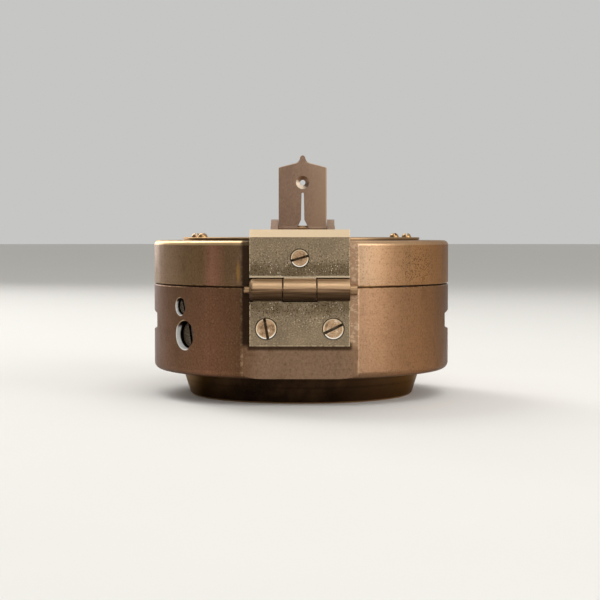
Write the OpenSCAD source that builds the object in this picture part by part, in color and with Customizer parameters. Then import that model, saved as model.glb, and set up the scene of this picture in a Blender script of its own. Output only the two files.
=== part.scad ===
// Brass pocket transit: a round sighting compass with a hinged mirror lid,
// a folding peep sight, a geared degree ring and a clinometer with two spirit levels.
// Millimetres. Z is the case axis, the foot stands on z = 0, the lid hinge faces -Y.

/* [Case] */
// Outside diameter of the turned case and lid
case_d = 76; // [72:1:90]
// Height of the turned body above the foot
body_h = 21.65; // [20.5:0.05:26]
// Height of the lid
lid_h = 10.85; // [10:0.05:16]
// Open seam between body and lid
seam_gap = 0.3; // [0.2:0.05:0.5]
// Depth of the milled front and back flats
flat_depth = 2.6; // [2:0.1:3]
// Thickness of the body's floor
floor_t = 3.3; // [3:0.1:4]
// Wall beside the crystal, at the rim
rim_wall = 4.8; // [4.6:0.1:5.2]
// Wall beside the degree ring
ring_wall = 6; // [5.6:0.1:6.4]
// Wall below the degree ring
lower_wall = 9; // [8.6:0.1:9.4]
// Radius of the body's bottom edge
body_edge_r = 1.6; // [0.5:0.1:2.5]
// Radius of the lid's top edge
lid_edge_r = 1.2; // [0.5:0.1:2]

/* [Foot] */
// Height of the foot
foot_h = 6.7; // [6.2:0.1:9]
// Foot's upper edge, distance inside the case wall
foot_inset = 7.25; // [6:0.05:8]
// How much the foot narrows towards the ground
foot_taper = 1.95; // [1:0.05:2.6]
// Width of the rim that the foot stands on
foot_wall = 5.3; // [4.6:0.1:6]
// Bevel of the foot's lower rim
foot_bevel = 0.5; // [0.2:0.1:0.8]

/* [Clamp grooves] */
// Height of the groove's floor
groove_h = 3.7; // [3:0.1:4.5]
// Depth of the groove
groove_depth = 1.6; // [1.2:0.1:2]
// How far each lip leans out over the groove's depth
groove_lip = 0.7; // [0.4:0.1:1]
// Height of the groove's middle above the foot
groove_rise = 12.6; // [11.5:0.1:13.5]

/* [Hinge] */
// Width of both hinge leaves
leaf_w = 23.6; // [21:0.1:26]
// Thickness of both hinge leaves
leaf_t = 3; // [2.5:0.1:3.5]
// Length of the lower leaf from the hinge axis down
lower_leaf_l = 13.3; // [12.5:0.1:15]
// Length of the upper leaf from the hinge axis up
upper_leaf_l = 14.15; // [13:0.05:15.5]
// Height of the bevel on the upper leaf's top edge
leaf_bevel_h = 1.8; // [1:0.1:2.4]
// Diameter of the hinge barrel
barrel_d = 5.2; // [4.8:0.1:5.6]
// How far the hinge axis stands proud of the leaves
axis_proud = 0.3; // [0.25:0.05:0.5]
// How far the hinge axis lies below the middle of the seam
axis_drop = 0.5; // [0:0.05:0.8]
// Diameter of the hinge pin
hinge_pin_d = 1.6; // [1.4:0.1:2]
// Diameter of the hinge pin's head
hinge_pin_head_d = 2.6; // [2.2:0.1:3]
// Radius of the barrel's worn left end
barrel_end_r = 0.9; // [0.3:0.1:1.2]
// Side gap between neighbouring knuckles
knuckle_gap = 0.25; // [0.15:0.05:0.35]

/* [Leaf screws] */
// Head diameter of the two lower screws
lower_screw_d = 4.8; // [4.4:0.1:5.2]
// Half the spacing of the two lower screws
lower_screw_x = 7.9; // [7:0.1:8.4]
// Lower screws, distance up from the lower leaf's edge
lower_screw_rise = 4.1; // [3.4:0.1:4.6]
// Head diameter of the upper screw
upper_screw_d = 4.1; // [3.8:0.1:4.6]
// Upper screw, distance up from the hinge axis
upper_screw_rise = 7.4; // [6.5:0.1:8]
// Shank diameter of the leaf and bracket screws
screw_shank_d = 2.4; // [2:0.1:2.6]
// Length of the leaf and bracket screws under the leaf
screw_bite = 2.8; // [2.4:0.1:3]

/* [Lid] */
// Thickness of the lid's roof
lid_roof_t = 3.1; // [2.8:0.1:3.6]
// Inside radius left off the lid's outside radius
lid_wall = 6; // [5.4:0.1:6.6]
// Round plate on the lid, distance of its edge inside the case wall
plate_inset = 7.4; // [6:0.1:8.4]
// Thickness of the round plate
plate_t = 0.75; // [0.6:0.05:1]
// Plate's screws, distance inside its edge
plate_screw_inset = 3.3; // [2.4:0.1:3.8]
// Angle between the two screws of a pair
plate_pair_angle = 25; // [22:1:32]
// Turn of the plate from square
plate_turn = 12.5; // [0:0.1:20]
// Head diameter of the plate's screws
plate_screw_d = 2.5; // [2.2:0.1:2.8]
// Head height of the plate's screws
plate_screw_h = 1.15; // [0.9:0.05:1.4]

/* [Mirror] */
// Mirror's edge, distance inside the plate's screws
mirror_inset = 2.8; // [2.2:0.1:4]
// Thickness of the mirror
mirror_t = 2; // [1.6:0.1:2.2]
// Thickness of the clips' lip under the mirror
clip_lip_t = 0.8; // [0.6:0.1:1]

/* [Sight] */
// Width of the sight
sight_w = 13.8; // [12.6:0.1:15]
// Thickness of the sight
sight_t = 1.8; // [1.4:0.1:2.2]
// Height of the sight's shoulders above its pin
sight_shoulder_h = 17.5; // [16.8:0.1:19]
// Rise of the shoulders to the foot of the point
sight_shoulder_rise = 1.1; // [0.6:0.1:1.6]
// Height of the point above the shoulders' rise
sight_point_h = 2.25; // [1.8:0.05:3]
// Half width of the point's foot
sight_point_w = 2.5; // [2.2:0.05:2.8]
// Radius of the point's tip
sight_tip_r = 0.75; // [0.5:0.05:0.85]
// Height of the peep hole above the pin
peep_h = 13.1; // [12.6:0.1:13.8]
// Diameter of the peep hole
peep_d = 1.55; // [1:0.05:2]
// Diameter of the peep hole's countersink
peep_sink_d = 3.8; // [3.2:0.1:4.4]
// Width of the sighting slit
slit_w = 0.95; // [0.6:0.05:1.2]
// Height of the slit's top above the pin
slit_top_h = 10.2; // [9:0.1:10.4]
// Height of the slit's foot above the pin
slit_foot_h = 2.4; // [2.2:0.1:3.4]
// Width of the flared opening at the pin
flare_w = 3.3; // [2.6:0.1:4]
// Diameter of the sight's pin
sight_pin_d = 1.5; // [1.2:0.1:1.8]
// Height of the sight's pin above the lid
sight_pin_rise = 3.3; // [3.1:0.1:4.5]
// Sight's pin, distance behind the back flat
sight_pin_reach = 8.1; // [6.5:0.1:9.5]
// Thickness of each ear
ear_t = 2.1; // [1.8:0.1:2.6]
// Radius of each ear
ear_r = 2.5; // [2:0.1:2.8]
// Thickness of the bracket's plate
bracket_t = 3; // [2.6:0.1:3.4]
// Height of the bracket's plate below the seam
bracket_drop = 15.5; // [14:0.1:16.5]

/* [Crystal] */
// Thickness of the crystal
crystal_t = 1.4; // [1.2:0.1:1.6]
// Height of the ring that holds the crystal
bezel_h = 1.6; // [1.4:0.1:1.8]
// Overlap of that ring on the crystal
bezel_lap = 1.7; // [1.2:0.1:2.2]

/* [Degree ring] */
// Module of the ring's and pinion's teeth
tooth_module = 0.6; // [0.55:0.01:0.62]
// Teeth on the pinion
pinion_teeth = 12; // [11:1:13]
// Width of the band that carries the teeth
tooth_band_w = 3.4; // [3:0.1:3.8]
// Room between the ring's top and the crystal
ring_headroom = 0.4; // [0.3:0.05:0.6]
// Play between meshing teeth
backlash = 0.34; // [0.3:0.02:0.4]

/* [Declination screw] */
// Direction of both side screws, from the hinge towards -X
side_screw_angle = 48; // [42:1:54]
// Declination screw, distance down from the rim
decl_drop = 11.8; // [11.2:0.05:12]
// Diameter of the declination screw's recess
decl_recess_d = 6.9; // [6.4:0.1:7.2]
// Depth of the declination screw's recess
decl_recess_depth = 4.6; // [4.2:0.1:5]
// Shaft diameter of the declination screw
decl_shaft_d = 3; // [2.6:0.1:3.4]
// Diameter of the clamp screw's recess
clamp_recess_d = 4.25; // [3.8:0.05:4.4]
// Depth of the clamp screw's recess
clamp_recess_depth = 2.2; // [1.8:0.1:2.6]
// Clamp screw, distance down from the ring's top
clamp_drop = 1.8; // [1.6:0.05:2]
// Turn of the clamp screw from the declination screw, away from the hinge
clamp_turn = 2.5; // [0:0.5:4]

/* [Clinometer] */
// Diameter of the clinometer's shaft
clino_shaft_d = 5; // [4.6:0.1:5.6]
// Gap between the vernier arm's end and the scale plate's screws
arm_end_gap = 1.4; // [1:0.1:2.4]
// Thickness of the vernier arm
arm_t = 1; // [0.8:0.1:1.2]
// Thickness of the clinometer's scale plate
dial_t = 0.8; // [0.6:0.1:0.9]
// Outside diameter of the long level's tube
level_tube_d = 6; // [5.6:0.1:6.4]
// Wall of the long level's tube
level_tube_wall = 0.5; // [0.4:0.05:0.6]
// Length of the long level's tube
level_tube_l = 25; // [22:0.5:27]
// Distance of the long level from the case axis
level_offset = 10.5; // [10:0.1:11.5]
// Outside diameter of the round level
round_level_d = 12; // [11:0.2:12.6]
// Height of the round level
round_level_h = 5.2; // [4.6:0.1:6]
// Distance of the round level from the case axis
round_level_offset = 12; // [11.6:0.1:12.6]
// Gap between the lever's tip and the foot
lever_end_gap = 3; // [2:0.1:5]
// Width of the lever
lever_w = 6; // [5:0.1:7]

/* [Needle] */
// Gap between the needle's ends and the degree ring
needle_end_gap = 1.8; // [1.2:0.1:3]
// Width of the needle at its middle
needle_w = 5.2; // [4.8:0.1:6]
// Thickness of the needle
needle_t = 0.4; // [0.3:0.05:0.5]
// Diameter of the needle's cap
cap_d = 3.8; // [3.6:0.1:4.2]
// Diameter of the pivot that carries the needle
pivot_d = 1.4; // [1.2:0.1:1.5]

/* [Needle lifter] */
// Direction of the lifter, from the hinge towards +X
lifter_angle = 45; // [40:1:52]
// Diameter of the lift pin in the rim
lift_pin_d = 1.6; // [1.4:0.1:1.8]
// Thickness of the lifter's strip
lifter_t = 0.8; // [0.6:0.1:0.9]
// Width of the lifter's strip
lifter_w = 3; // [2.6:0.1:3.4]
// Distance of the lifter's fulcrum inside the wall
fulcrum_inset = 4.5; // [4:0.1:5]
// Diameter of the fulcrum pin
fulcrum_pin_d = 1.2; // [1:0.1:1.3]

/* [Fits] */
// Radial play of turning fits
running_fit = 0.05; // [0.03:0.01:0.08]
// Radial play of pressed and screwed fits
seat_fit = 0.03; // [0.02:0.01:0.05]
// Gap between pieces that pass each other
pass_gap = 0.3; // [0.25:0.05:0.4]

/* [Hidden] */
$fn = 96;
eps = 0.01;
brass = "#a98658";
pale_brass = "#b49a62";
bright_brass = "#cda86a";
steel = "#9a9ca0";
silvered = "#d8d4c6";
glass = "#cfe6ea";

// Radii from the case axis
case_r = case_d / 2;
flat_y = case_r - flat_depth;
rim_r = case_r - rim_wall;
ring_r = case_r - ring_wall;
cavity_r = case_r - lower_wall;
lid_cavity_r = case_r - lid_wall;
foot_top_r = case_r - foot_inset;
foot_bottom_r = foot_top_r - foot_taper;
foot_recess_r = foot_bottom_r - foot_wall;
plate_r = case_r - plate_inset;
plate_screw_r = plate_r - plate_screw_inset;
mirror_r = plate_screw_r - mirror_inset;

// Heights of the main pieces
body_z = foot_h;
floor_z = body_z + floor_t;
rim_z = body_z + body_h;
lid_z = rim_z + seam_gap;
lid_top_z = lid_z + lid_h;
lid_roof_z = lid_top_z - lid_roof_t;
rest_gap = 0.05;
bezel_z = lid_z - rest_gap - bezel_h;
crystal_z = bezel_z - crystal_t;
rim_bevel = 0.2;
mirror_z = lid_roof_z - 2 * rest_gap - mirror_t;
clip_z = mirror_z - 2 * rest_gap - clip_lip_t;

// Hinge axis, leaves and knuckles
axis_z = rim_z + seam_gap / 2 - axis_drop;
axis_y = -flat_y - leaf_t - axis_proud;
barrel_r = barrel_d / 2;
knuckle_w = (leaf_w - 2 * knuckle_gap) / 3;
knuckle_end_r = 0.15;
relief_r = barrel_r + pass_gap;
hinge_bore_r = hinge_pin_d / 2 + running_fit;
leaf_neck_gap = 0.6;
lower_leaf_z = axis_z - lower_leaf_l;
upper_leaf_z = axis_z + upper_leaf_l;

// Screw heads
sink_depth = 1.2;
head_edge = 0.25;
head_drop = 0.1;
head_ring = 0.12;
slot_share = 0.14;
slot_depth = 0.75;
shank_r = screw_shank_d / 2;
screw_hole_l = screw_bite + 0.3;
foot_screw_d = 3.6;
foot_screw_shank_r = 1;
foot_screw_hole_l = floor_t - 0.6;
foot_screw_l = foot_h + foot_screw_hole_l - 0.5;
foot_screw_r = (foot_recess_r + foot_bottom_r) / 2;
foot_screw_angles = [30, 150, 270];
dial_screw_d = 1.6;
dial_screw_l = 2;
dial_screw_inset = 2.5;
dial_screw_r = cavity_r - dial_screw_inset;
dial_screw_angles = [-20, 200, 290];
clamp_shank_r = 1;
plate_screw_shank_r = 0.8;
clip_skin = 0.3;
recessed_head_gap = 0.35;

// Sight and its bracket
sight_pin_z = lid_top_z + sight_pin_rise;
sight_pin_y = flat_y + sight_pin_reach;
sight_knuckle_r = sight_t;
sight_knuckle_proud = 0.05;
sight_side_gap = 0.12;
ear_x = sight_w / 2 + sight_side_gap;
bracket_w = 2 * (ear_x + ear_t);
bracket_z = rim_z - bracket_drop;
bracket_head_gap = 0.7;
bracket_top_z = sight_pin_z - sight_knuckle_r - bracket_head_gap;
bracket_lid_gap = 0.4;
ear_root_h = 5.5;
bracket_screw_x = sight_w / 2 - 0.7;
bracket_low_screw_rise = 4.5;
bracket_high_screw_rise = 11;
bracket_low_screw_z = bracket_z + bracket_low_screw_rise;
bracket_high_screw_z = bracket_z + bracket_high_screw_rise;
bracket_screw_spots = [[-bracket_screw_x, bracket_low_screw_z], [bracket_screw_x, bracket_low_screw_z],
    [0, bracket_high_screw_z]];

// Crown teeth under the degree ring, cut for the pinion
ring_out_r = ring_r - 1.4 * running_fit;
band_out_r = cavity_r - pass_gap;
band_in_r = band_out_r - tooth_band_w;
ring_teeth = round(2 * (band_in_r + tooth_band_w / 2) / tooth_module);
mesh_r = ring_teeth * tooth_module / 2;
pinion_pitch_r = pinion_teeth * tooth_module / 2;
tooth_pitch = PI * tooth_module;
pressure = 20;
crown_add = 0.65 * tooth_module;
crown_root = 1.15 * tooth_module;
pinion_add = 0.85 * tooth_module;
pinion_root_r = pinion_pitch_r - crown_add - 0.4 * tooth_module;
pinion_tip_r = pinion_pitch_r + pinion_add;
pinion_base_r = pinion_pitch_r * cos(pressure);
pinion_side_gap = 0.6;
pinion_w = tooth_band_w - 2 * pinion_side_gap;
pinion_z = rim_z - decl_drop;
pitch_z = pinion_z + pinion_pitch_r;
tooth_foot_t = 0.2;
ring_z = pitch_z + crown_root + tooth_foot_t;
ring_top_z = crystal_z - ring_headroom;
ledge_z = ring_z - rest_gap;
clamp_z = ring_top_z - clamp_drop;

// Clinometer stack
dial_z = floor_z;
arm_lift = 0.2;
arm_z = dial_z + dial_t + arm_lift;
arm_top_z = arm_z + arm_t;
arm_reach = dial_screw_r - dial_screw_d / 2 - arm_end_gap;
level_foot = 0.5;
level_plug_t = 1.2;
level_z = arm_top_z + level_foot + level_tube_d / 2;
shaft_r = clino_shaft_d / 2;
shaft_flange_r = shaft_r + 1.7;
dial_hole_r = shaft_flange_r + 0.8;
round_level_wall = 0.8;
round_level_base_t = 1;
washer_room = 0.8;
lever_top_z = body_z - washer_room;
lever_t = 2.2;
lever_l = foot_recess_r - lever_end_gap;
lever_hub_wall = 2.7;
washer_w = 2.85;
washer_gap = 0.15;
lever_hub_h = 3.5;
lever_hub_z = lever_top_z - lever_hub_h;
shaft_end_z = lever_hub_z + 2 * rest_gap;
lever_screw_r = 1;
lever_head_r = 2;
lever_head_t = 1.2;
lever_head_slot = 0.6;

// Lifter and lift pin
lift_pin_r = (case_r + rim_r) / 2 - 0.3;
fulcrum_r = cavity_r - fulcrum_inset;
lifter_ring_room = 1.74;
lifter_z = pitch_z - crown_add - lifter_ring_room - lifter_t;
fulcrum_z = lifter_z + lifter_t / 2;
lifter_level_room = 1.8;
lifter_top_z = level_z + level_tube_d / 2 + lifter_level_room;
lifter_ring_r = 3;
lifter_eye_r = pivot_d / 2 + 0.9;
lifter_sway = 1.2;
lifter_sink = 0.5;
slot_end_r = lift_pin_r + lift_pin_d / 2 + 0.4;
lifter_cheek_gap = 0.15;
lifter_slot_half = lifter_w / 2 + lifter_cheek_gap;
lifter_bracket_half = lifter_slot_half + 1.05;
lifter_barrel_wall = 0.6;

// Needle
needle_l = 2 * (band_in_r - needle_end_gap);
blade_drop = 1;
blade_z = ring_top_z - blade_drop;
cap_lift_gap = 0.2;
cap_z = lifter_top_z + lifter_t + cap_lift_gap;
cap_proud = 0.6;
cap_top_z = blade_z + needle_t + cap_proud;
pivot_tip_z = blade_z - 0.2;
pivot_cone_h = 1.6;
pivot_root_z = arm_z - 0.5;
cap_flange_t = 0.6;
cap_flange_r = lifter_ring_r - 0.4;
needle_tip_w = 0.4;

// Turned solid from a profile of [radius, height] points
module turned(profile) {
    rotate_extrude()
        polygon(profile);
}

// Cylinder that lies along X, Y or a bearing from the case axis
module rod_x(r, x0, x1) {
    translate([x0, 0, 0])
        rotate([0, 90, 0])
            cylinder(r = r, h = x1 - x0);
}

module rod_y(r, y0, y1) {
    translate([0, y0, 0])
        rotate([-90, 0, 0])
            cylinder(r = r, h = y1 - y0);
}

module at_bearing(angle) {
    rotate([0, 0, angle - 90])
        children();
}

module side_bearing() {
    at_bearing(-side_screw_angle)
        children();
}

module lifter_bearing() {
    at_bearing(lifter_angle)
        children();
}

// Quarter arc of points about [cx, cy]
function arc(cx, cy, r, a0, a1, n = 10) =
    [for (i = [0 : n]) [cx + r * cos(a0 + (a1 - a0) * i / n), cy + r * sin(a0 + (a1 - a0) * i / n)]];

// Flat-headed slotted screw, head face at y = 0, shank towards +Y
module flat_screw(head_d, shank, length, slot_angle) {
    head_r = head_d / 2;
    slot_w = head_d * slot_share;
    difference() {
        rotate([-90, 0, 0])
            turned([[0, 0], [head_r, 0], [head_r, head_edge], [shank, sink_depth], [shank, length],
                [0, length]]);
        rotate([0, slot_angle, 0])
            translate([-head_d, -eps, -slot_w / 2])
                cube([2 * head_d, slot_depth, slot_w]);
    }
}

// Countersunk hole for a flat screw, mouth at y = 0
module flat_screw_hole(head_d, shank, length) {
    mouth_r = head_d / 2 + head_ring;
    hole_r = shank + seat_fit;
    edge_y = head_drop + head_edge + seat_fit;
    cone_y = head_drop + sink_depth + head_ring;
    rotate([-90, 0, 0])
        turned([[0, -1], [mouth_r, -1], [mouth_r, edge_y], [hole_r, cone_y], [hole_r, length], [0, length]]);
}

// Milled flats at the front and back of the case
module flats(z0, z1) {
    for (turn = [0, 180])
        rotate([0, 0, turn])
            translate([-case_r, flat_y, z0 - 1])
                cube([case_d, case_r, z1 - z0 + 2]);
}

// Straight groove along Y at each side, with sloped lips, for a clamp bracket
module clamp_grooves() {
    floor_half = groove_h / 2;
    mouth_half = floor_half + groove_lip * (groove_depth + 1) / groove_depth;
    for (turn = [0, 180])
        rotate([0, 0, turn])
            translate([case_r, 0, body_z + groove_rise])
                rotate([90, 0, 0])
                    linear_extrude(case_d, center = true)
                        polygon([[-groove_depth, -floor_half], [-groove_depth, floor_half], [1, mouth_half],
                            [1, -mouth_half]]);
}

module case_body() {
    bore_r = shaft_r + running_fit;
    color(brass)
    difference() {
        turned(concat([[bore_r, body_z], [case_r - body_edge_r, body_z]],
            arc(case_r - body_edge_r, body_z + body_edge_r, body_edge_r, -90, 0),
            [[case_r, rim_z - rim_bevel], [case_r - rim_bevel, rim_z], [rim_r, rim_z],
            [rim_r, crystal_z], [ring_r, crystal_z], [ring_r, ledge_z], [cavity_r, ledge_z],
            [cavity_r, floor_z], [bore_r, floor_z]]));
        flats(body_z, rim_z);
        clamp_grooves();
        side_bearing() side_screw_holes();
        lifter_bearing() lifter_holes();
        for (x = [-lower_screw_x, lower_screw_x])
            translate([x, 0, lower_leaf_z + lower_screw_rise])
                rod_y(shank_r + seat_fit, -flat_y - 1, -flat_y + screw_hole_l);
        for (spot = bracket_screw_spots)
            translate([spot[0], 0, spot[1]])
                rod_y(shank_r + seat_fit, flat_y - screw_hole_l, flat_y + 1);
        for (angle = foot_screw_angles)
            rotate([0, 0, angle])
                translate([foot_screw_r, 0, body_z - 1])
                    cylinder(r = foot_screw_shank_r + seat_fit, h = foot_screw_hole_l + 1);
        for (angle = dial_screw_angles)
            rotate([0, 0, angle])
                translate([dial_screw_r, 0, floor_z - dial_screw_l])
                    cylinder(r = dial_screw_d / 2 + seat_fit, h = dial_screw_l + 1);
    }
}

// Recesses and bores for the declination screw and the ring's clamp screw
module side_screw_holes() {
    translate([0, 0, pinion_z]) {
        rod_x(decl_recess_d / 2, case_r - decl_recess_depth, case_r + 1);
        rod_x(decl_shaft_d / 2 + running_fit, cavity_r - 1, case_r);
    }
    translate([0, 0, clamp_z])
        rotate([0, 0, -clamp_turn]) {
            rod_x(clamp_recess_d / 2, case_r - clamp_recess_depth, case_r + 1);
            rod_x(clamp_shank_r + seat_fit, ring_r - 1, case_r);
        }
}

// Bore for the lift pin and slot for the lifter's outer end
module lifter_holes() {
    slot_w = lifter_w + 2 * pass_gap;
    translate([lift_pin_r, 0, lifter_z])
        cylinder(r = lift_pin_d / 2 + running_fit, h = rim_z - lifter_z + 1);
    translate([cavity_r - 1, -slot_w / 2, lifter_z - lifter_sink])
        cube([slot_end_r - cavity_r + 1, slot_w, lifter_t + lifter_sink + lifter_sway]);
}

// Tapered foot with the lever's recess
module foot_ring() {
    color(brass)
    difference() {
        turned([[foot_recess_r, 0], [foot_bottom_r - foot_bevel, 0], [foot_bottom_r, foot_bevel],
            [foot_top_r, foot_h], [foot_recess_r, foot_h]]);
        for (angle = foot_screw_angles)
            rotate([0, 0, angle])
                translate([foot_screw_r, 0, 0])
                    rotate([90, 0, 0])
                        flat_screw_hole(foot_screw_d, foot_screw_shank_r, foot_h + 1);
    }
}

module foot_screws() {
    color(bright_brass)
    for (angle = foot_screw_angles)
        rotate([0, 0, angle])
            translate([foot_screw_r, 0, head_drop])
                rotate([90, 0, 0])
                    flat_screw(foot_screw_d, foot_screw_shank_r, foot_screw_l, 2 * angle);
}

// Leaf plate on the front flat, from z0 to z1
module leaf_plate(z0, z1) {
    translate([-leaf_w / 2, -flat_y - leaf_t, z0])
        cube([leaf_w, leaf_t, z1 - z0]);
}

// Knuckle k of three, counted from -X, with the neck that joins it to its leaf
module knuckle(k, neck_up) {
    x0 = -leaf_w / 2 + k * (knuckle_w + knuckle_gap);
    neck_l = relief_r + 0.5;
    neck_t = leaf_t + axis_proud - leaf_neck_gap;
    end_r = k == 0 ? barrel_end_r : knuckle_end_r;
    translate([x0, axis_y, axis_z])
        rotate([0, 90, 0])
            turned(concat([[0, 0]], arc(barrel_r - end_r, end_r, end_r, -90, 0, 6),
                [[barrel_r, knuckle_w], [0, knuckle_w]]));
    translate([x0 + end_r, axis_y, neck_up ? axis_z : axis_z - neck_l])
        cube([knuckle_w - end_r, neck_t, neck_l]);
}

// Room that a leaf leaves round the other leaf's knuckles
module knuckle_room(k) {
    x0 = -leaf_w / 2 + k * (knuckle_w + knuckle_gap) - knuckle_gap;
    translate([0, axis_y, axis_z])
        rod_x(relief_r, x0, x0 + knuckle_w + 2 * knuckle_gap);
}

module hinge_bore() {
    translate([0, axis_y, axis_z])
        rod_x(hinge_bore_r, -leaf_w, leaf_w);
}

module lower_hinge_leaf() {
    color(pale_brass)
    difference() {
        union() {
            difference() {
                leaf_plate(lower_leaf_z, axis_z - barrel_r);
                for (k = [0, 1, 2])
                    knuckle_room(k);
            }
            knuckle(0, false);
            knuckle(2, false);
        }
        hinge_bore();
        for (x = [-lower_screw_x, lower_screw_x])
            translate([x, -flat_y - leaf_t, lower_leaf_z + lower_screw_rise])
                flat_screw_hole(lower_screw_d, shank_r, leaf_t + 1);
    }
}

module upper_hinge_leaf() {
    front_y = -flat_y - leaf_t;
    color(pale_brass)
    difference() {
        union() {
            difference() {
                leaf_plate(axis_z + barrel_r, upper_leaf_z);
                for (k = [0, 1, 2])
                    knuckle_room(k);
                rotate([90, 0, 90])
                    linear_extrude(2 * leaf_w, center = true)
                        polygon([[front_y - 1, upper_leaf_z - leaf_bevel_h * (1 + 1 / leaf_t)],
                            [front_y - 1, upper_leaf_z + 1], [-flat_y, upper_leaf_z + 1],
                            [-flat_y, upper_leaf_z]]);
            }
            knuckle(1, true);
        }
        hinge_bore();
        translate([0, front_y, axis_z + upper_screw_rise])
            flat_screw_hole(upper_screw_d, shank_r, leaf_t + 1);
    }
}

module hinge_pin() {
    pin_r = hinge_pin_d / 2;
    head_r = hinge_pin_head_d / 2;
    end_x = -leaf_w / 2 - 1.3;
    end_round = 0.3;
    head_x0 = leaf_w / 2 + rest_gap;
    head_x1 = leaf_w / 2 + 1.7;
    color(bright_brass)
    translate([0, axis_y, axis_z])
        rotate([0, 90, 0])
            turned(concat([[0, end_x]], arc(pin_r - end_round, end_x + end_round, end_round, -90, 0, 4),
                [[pin_r, head_x0], [head_r, head_x0], [head_r, head_x1], [0, head_x1]]));
}

module lower_leaf_screws() {
    slot_angles = [80, -26];
    length = leaf_t - head_drop + screw_bite;
    color(bright_brass)
    for (i = [0, 1])
        translate([(2 * i - 1) * lower_screw_x, 0, lower_leaf_z + lower_screw_rise])
            translate([0, -flat_y - leaf_t + head_drop, 0])
                flat_screw(lower_screw_d, shank_r, length, slot_angles[i]);
}

module upper_leaf_screw() {
    slot_angle = -16;
    color(bright_brass)
    translate([0, -flat_y - leaf_t + head_drop, axis_z + upper_screw_rise])
        flat_screw(upper_screw_d, shank_r, leaf_t - head_drop + screw_bite, slot_angle);
}

// Turned lid with its mirror's hollow
module lid_shell() {
    color(brass)
    difference() {
        turned(concat([[lid_cavity_r, lid_z], [case_r - rim_bevel, lid_z], [case_r, lid_z + rim_bevel]],
            arc(case_r - lid_edge_r, lid_top_z - lid_edge_r, lid_edge_r, 0, 90),
            [[0, lid_top_z], [0, lid_roof_z], [lid_cavity_r, lid_roof_z]]));
        flats(lid_z, lid_top_z);
        translate([0, 0, axis_z + upper_screw_rise])
            rod_y(shank_r + seat_fit, -flat_y - 1, -flat_y + screw_hole_l);
        plate_screw_spots()
            translate([0, 0, lid_roof_z - 1])
                cylinder(r = plate_screw_shank_r + seat_fit, h = lid_roof_t + 2);
    }
}

// Two pairs of screws, one pair at each side of the lid
module plate_screw_spots() {
    for (side = [0, 180], half = [-0.5, 0.5])
        rotate([0, 0, plate_turn + side + half * plate_pair_angle])
            translate([plate_screw_r, 0, 0])
                children();
}

module lid_top_plate() {
    plate_top_z = lid_top_z + plate_t;
    undercut = 0.2;
    bevel = 0.1;
    color(brass)
    difference() {
        turned([[0, lid_top_z], [plate_r - undercut, lid_top_z], [plate_r - undercut, lid_top_z + undercut],
            [plate_r, lid_top_z + undercut], [plate_r, plate_top_z - bevel], [plate_r - bevel, plate_top_z],
            [0, plate_top_z]]);
        plate_screw_spots()
            translate([0, 0, lid_top_z - 1])
                cylinder(r = plate_screw_shank_r + seat_fit, h = plate_t + 2);
    }
}

module lid_plate_screws() {
    head_r = plate_screw_d / 2;
    head_z = lid_top_z + plate_t;
    dome_r = (head_r * head_r + plate_screw_h * plate_screw_h) / (2 * plate_screw_h);
    dome_z = head_z + plate_screw_h - dome_r;
    start = asin((head_z - dome_z) / dome_r);
    slot_w = 0.5;
    slot_cut = 0.6;
    end_z = clip_z + clip_skin + 2 * rest_gap;
    color(bright_brass)
    plate_screw_spots()
        difference() {
            turned(concat([[0, end_z], [plate_screw_shank_r, end_z], [plate_screw_shank_r, head_z]],
                arc(0, dome_z, dome_r, start, 90)));
            translate([-slot_w / 2, -plate_screw_d, head_z + plate_screw_h - slot_cut])
                cube([slot_w, 2 * plate_screw_d, 1]);
        }
}

module mirror() {
    mirror_bevel = 0.3;
    color(glass)
    turned([[0, mirror_z], [mirror_r - mirror_bevel, mirror_z], [mirror_r, mirror_z + mirror_bevel],
        [mirror_r, mirror_z + mirror_t], [0, mirror_z + mirror_t]]);
}

// Clip at each side of the mirror, held by its pair of lid screws
module mirror_clips() {
    half_w = plate_screw_r * sin(plate_pair_angle / 2) + 2.6;
    lip = 1.6;
    block_x = mirror_r + pass_gap;
    clip_out_r = lid_cavity_r - 1;
    color(pale_brass)
    difference() {
        for (side = [0, 180])
            rotate([0, 0, plate_turn + side])
                intersection() {
                    translate([0, 0, clip_z])
                        cylinder(r = clip_out_r, h = lid_roof_z - rest_gap - clip_z);
                    union() {
                        translate([block_x - lip, -half_w, clip_z])
                            cube([case_r, 2 * half_w, clip_lip_t]);
                        translate([block_x, -half_w, clip_z])
                            cube([case_r, 2 * half_w, lid_roof_z - clip_z]);
                    }
                }
        plate_screw_spots()
            translate([0, 0, clip_z + clip_skin])
                cylinder(r = plate_screw_shank_r + seat_fit, h = lid_roof_t + mirror_t + 2);
    }
}

// Bracket on the back flat, with the two ears that carry the sight
module sight_bracket() {
    back_y = flat_y + bracket_t;
    step_z = rim_z - 0.5;
    color(pale_brass)
    difference() {
        union() {
            translate([-bracket_w / 2, flat_y, bracket_z])
                cube([bracket_w, bracket_t, bracket_top_z - bracket_z]);
            for (side = [-1, 1])
                translate([side * (ear_x + ear_t / 2), 0, 0])
                    rotate([90, 0, 90])
                        linear_extrude(ear_t, center = true)
                            ear_outline(back_y);
        }
        translate([-bracket_w, flat_y - 1, step_z])
            cube([2 * bracket_w, 1 + bracket_lid_gap, case_r]);
        translate([0, sight_pin_y, sight_pin_z])
            rod_x(sight_pin_d / 2 + seat_fit, -bracket_w, bracket_w);
        for (spot = bracket_screw_spots)
            translate([spot[0], back_y, spot[1]])
                rotate([0, 0, 180])
                    flat_screw_hole(lower_screw_d, shank_r, bracket_t + 1);
    }
}

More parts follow.
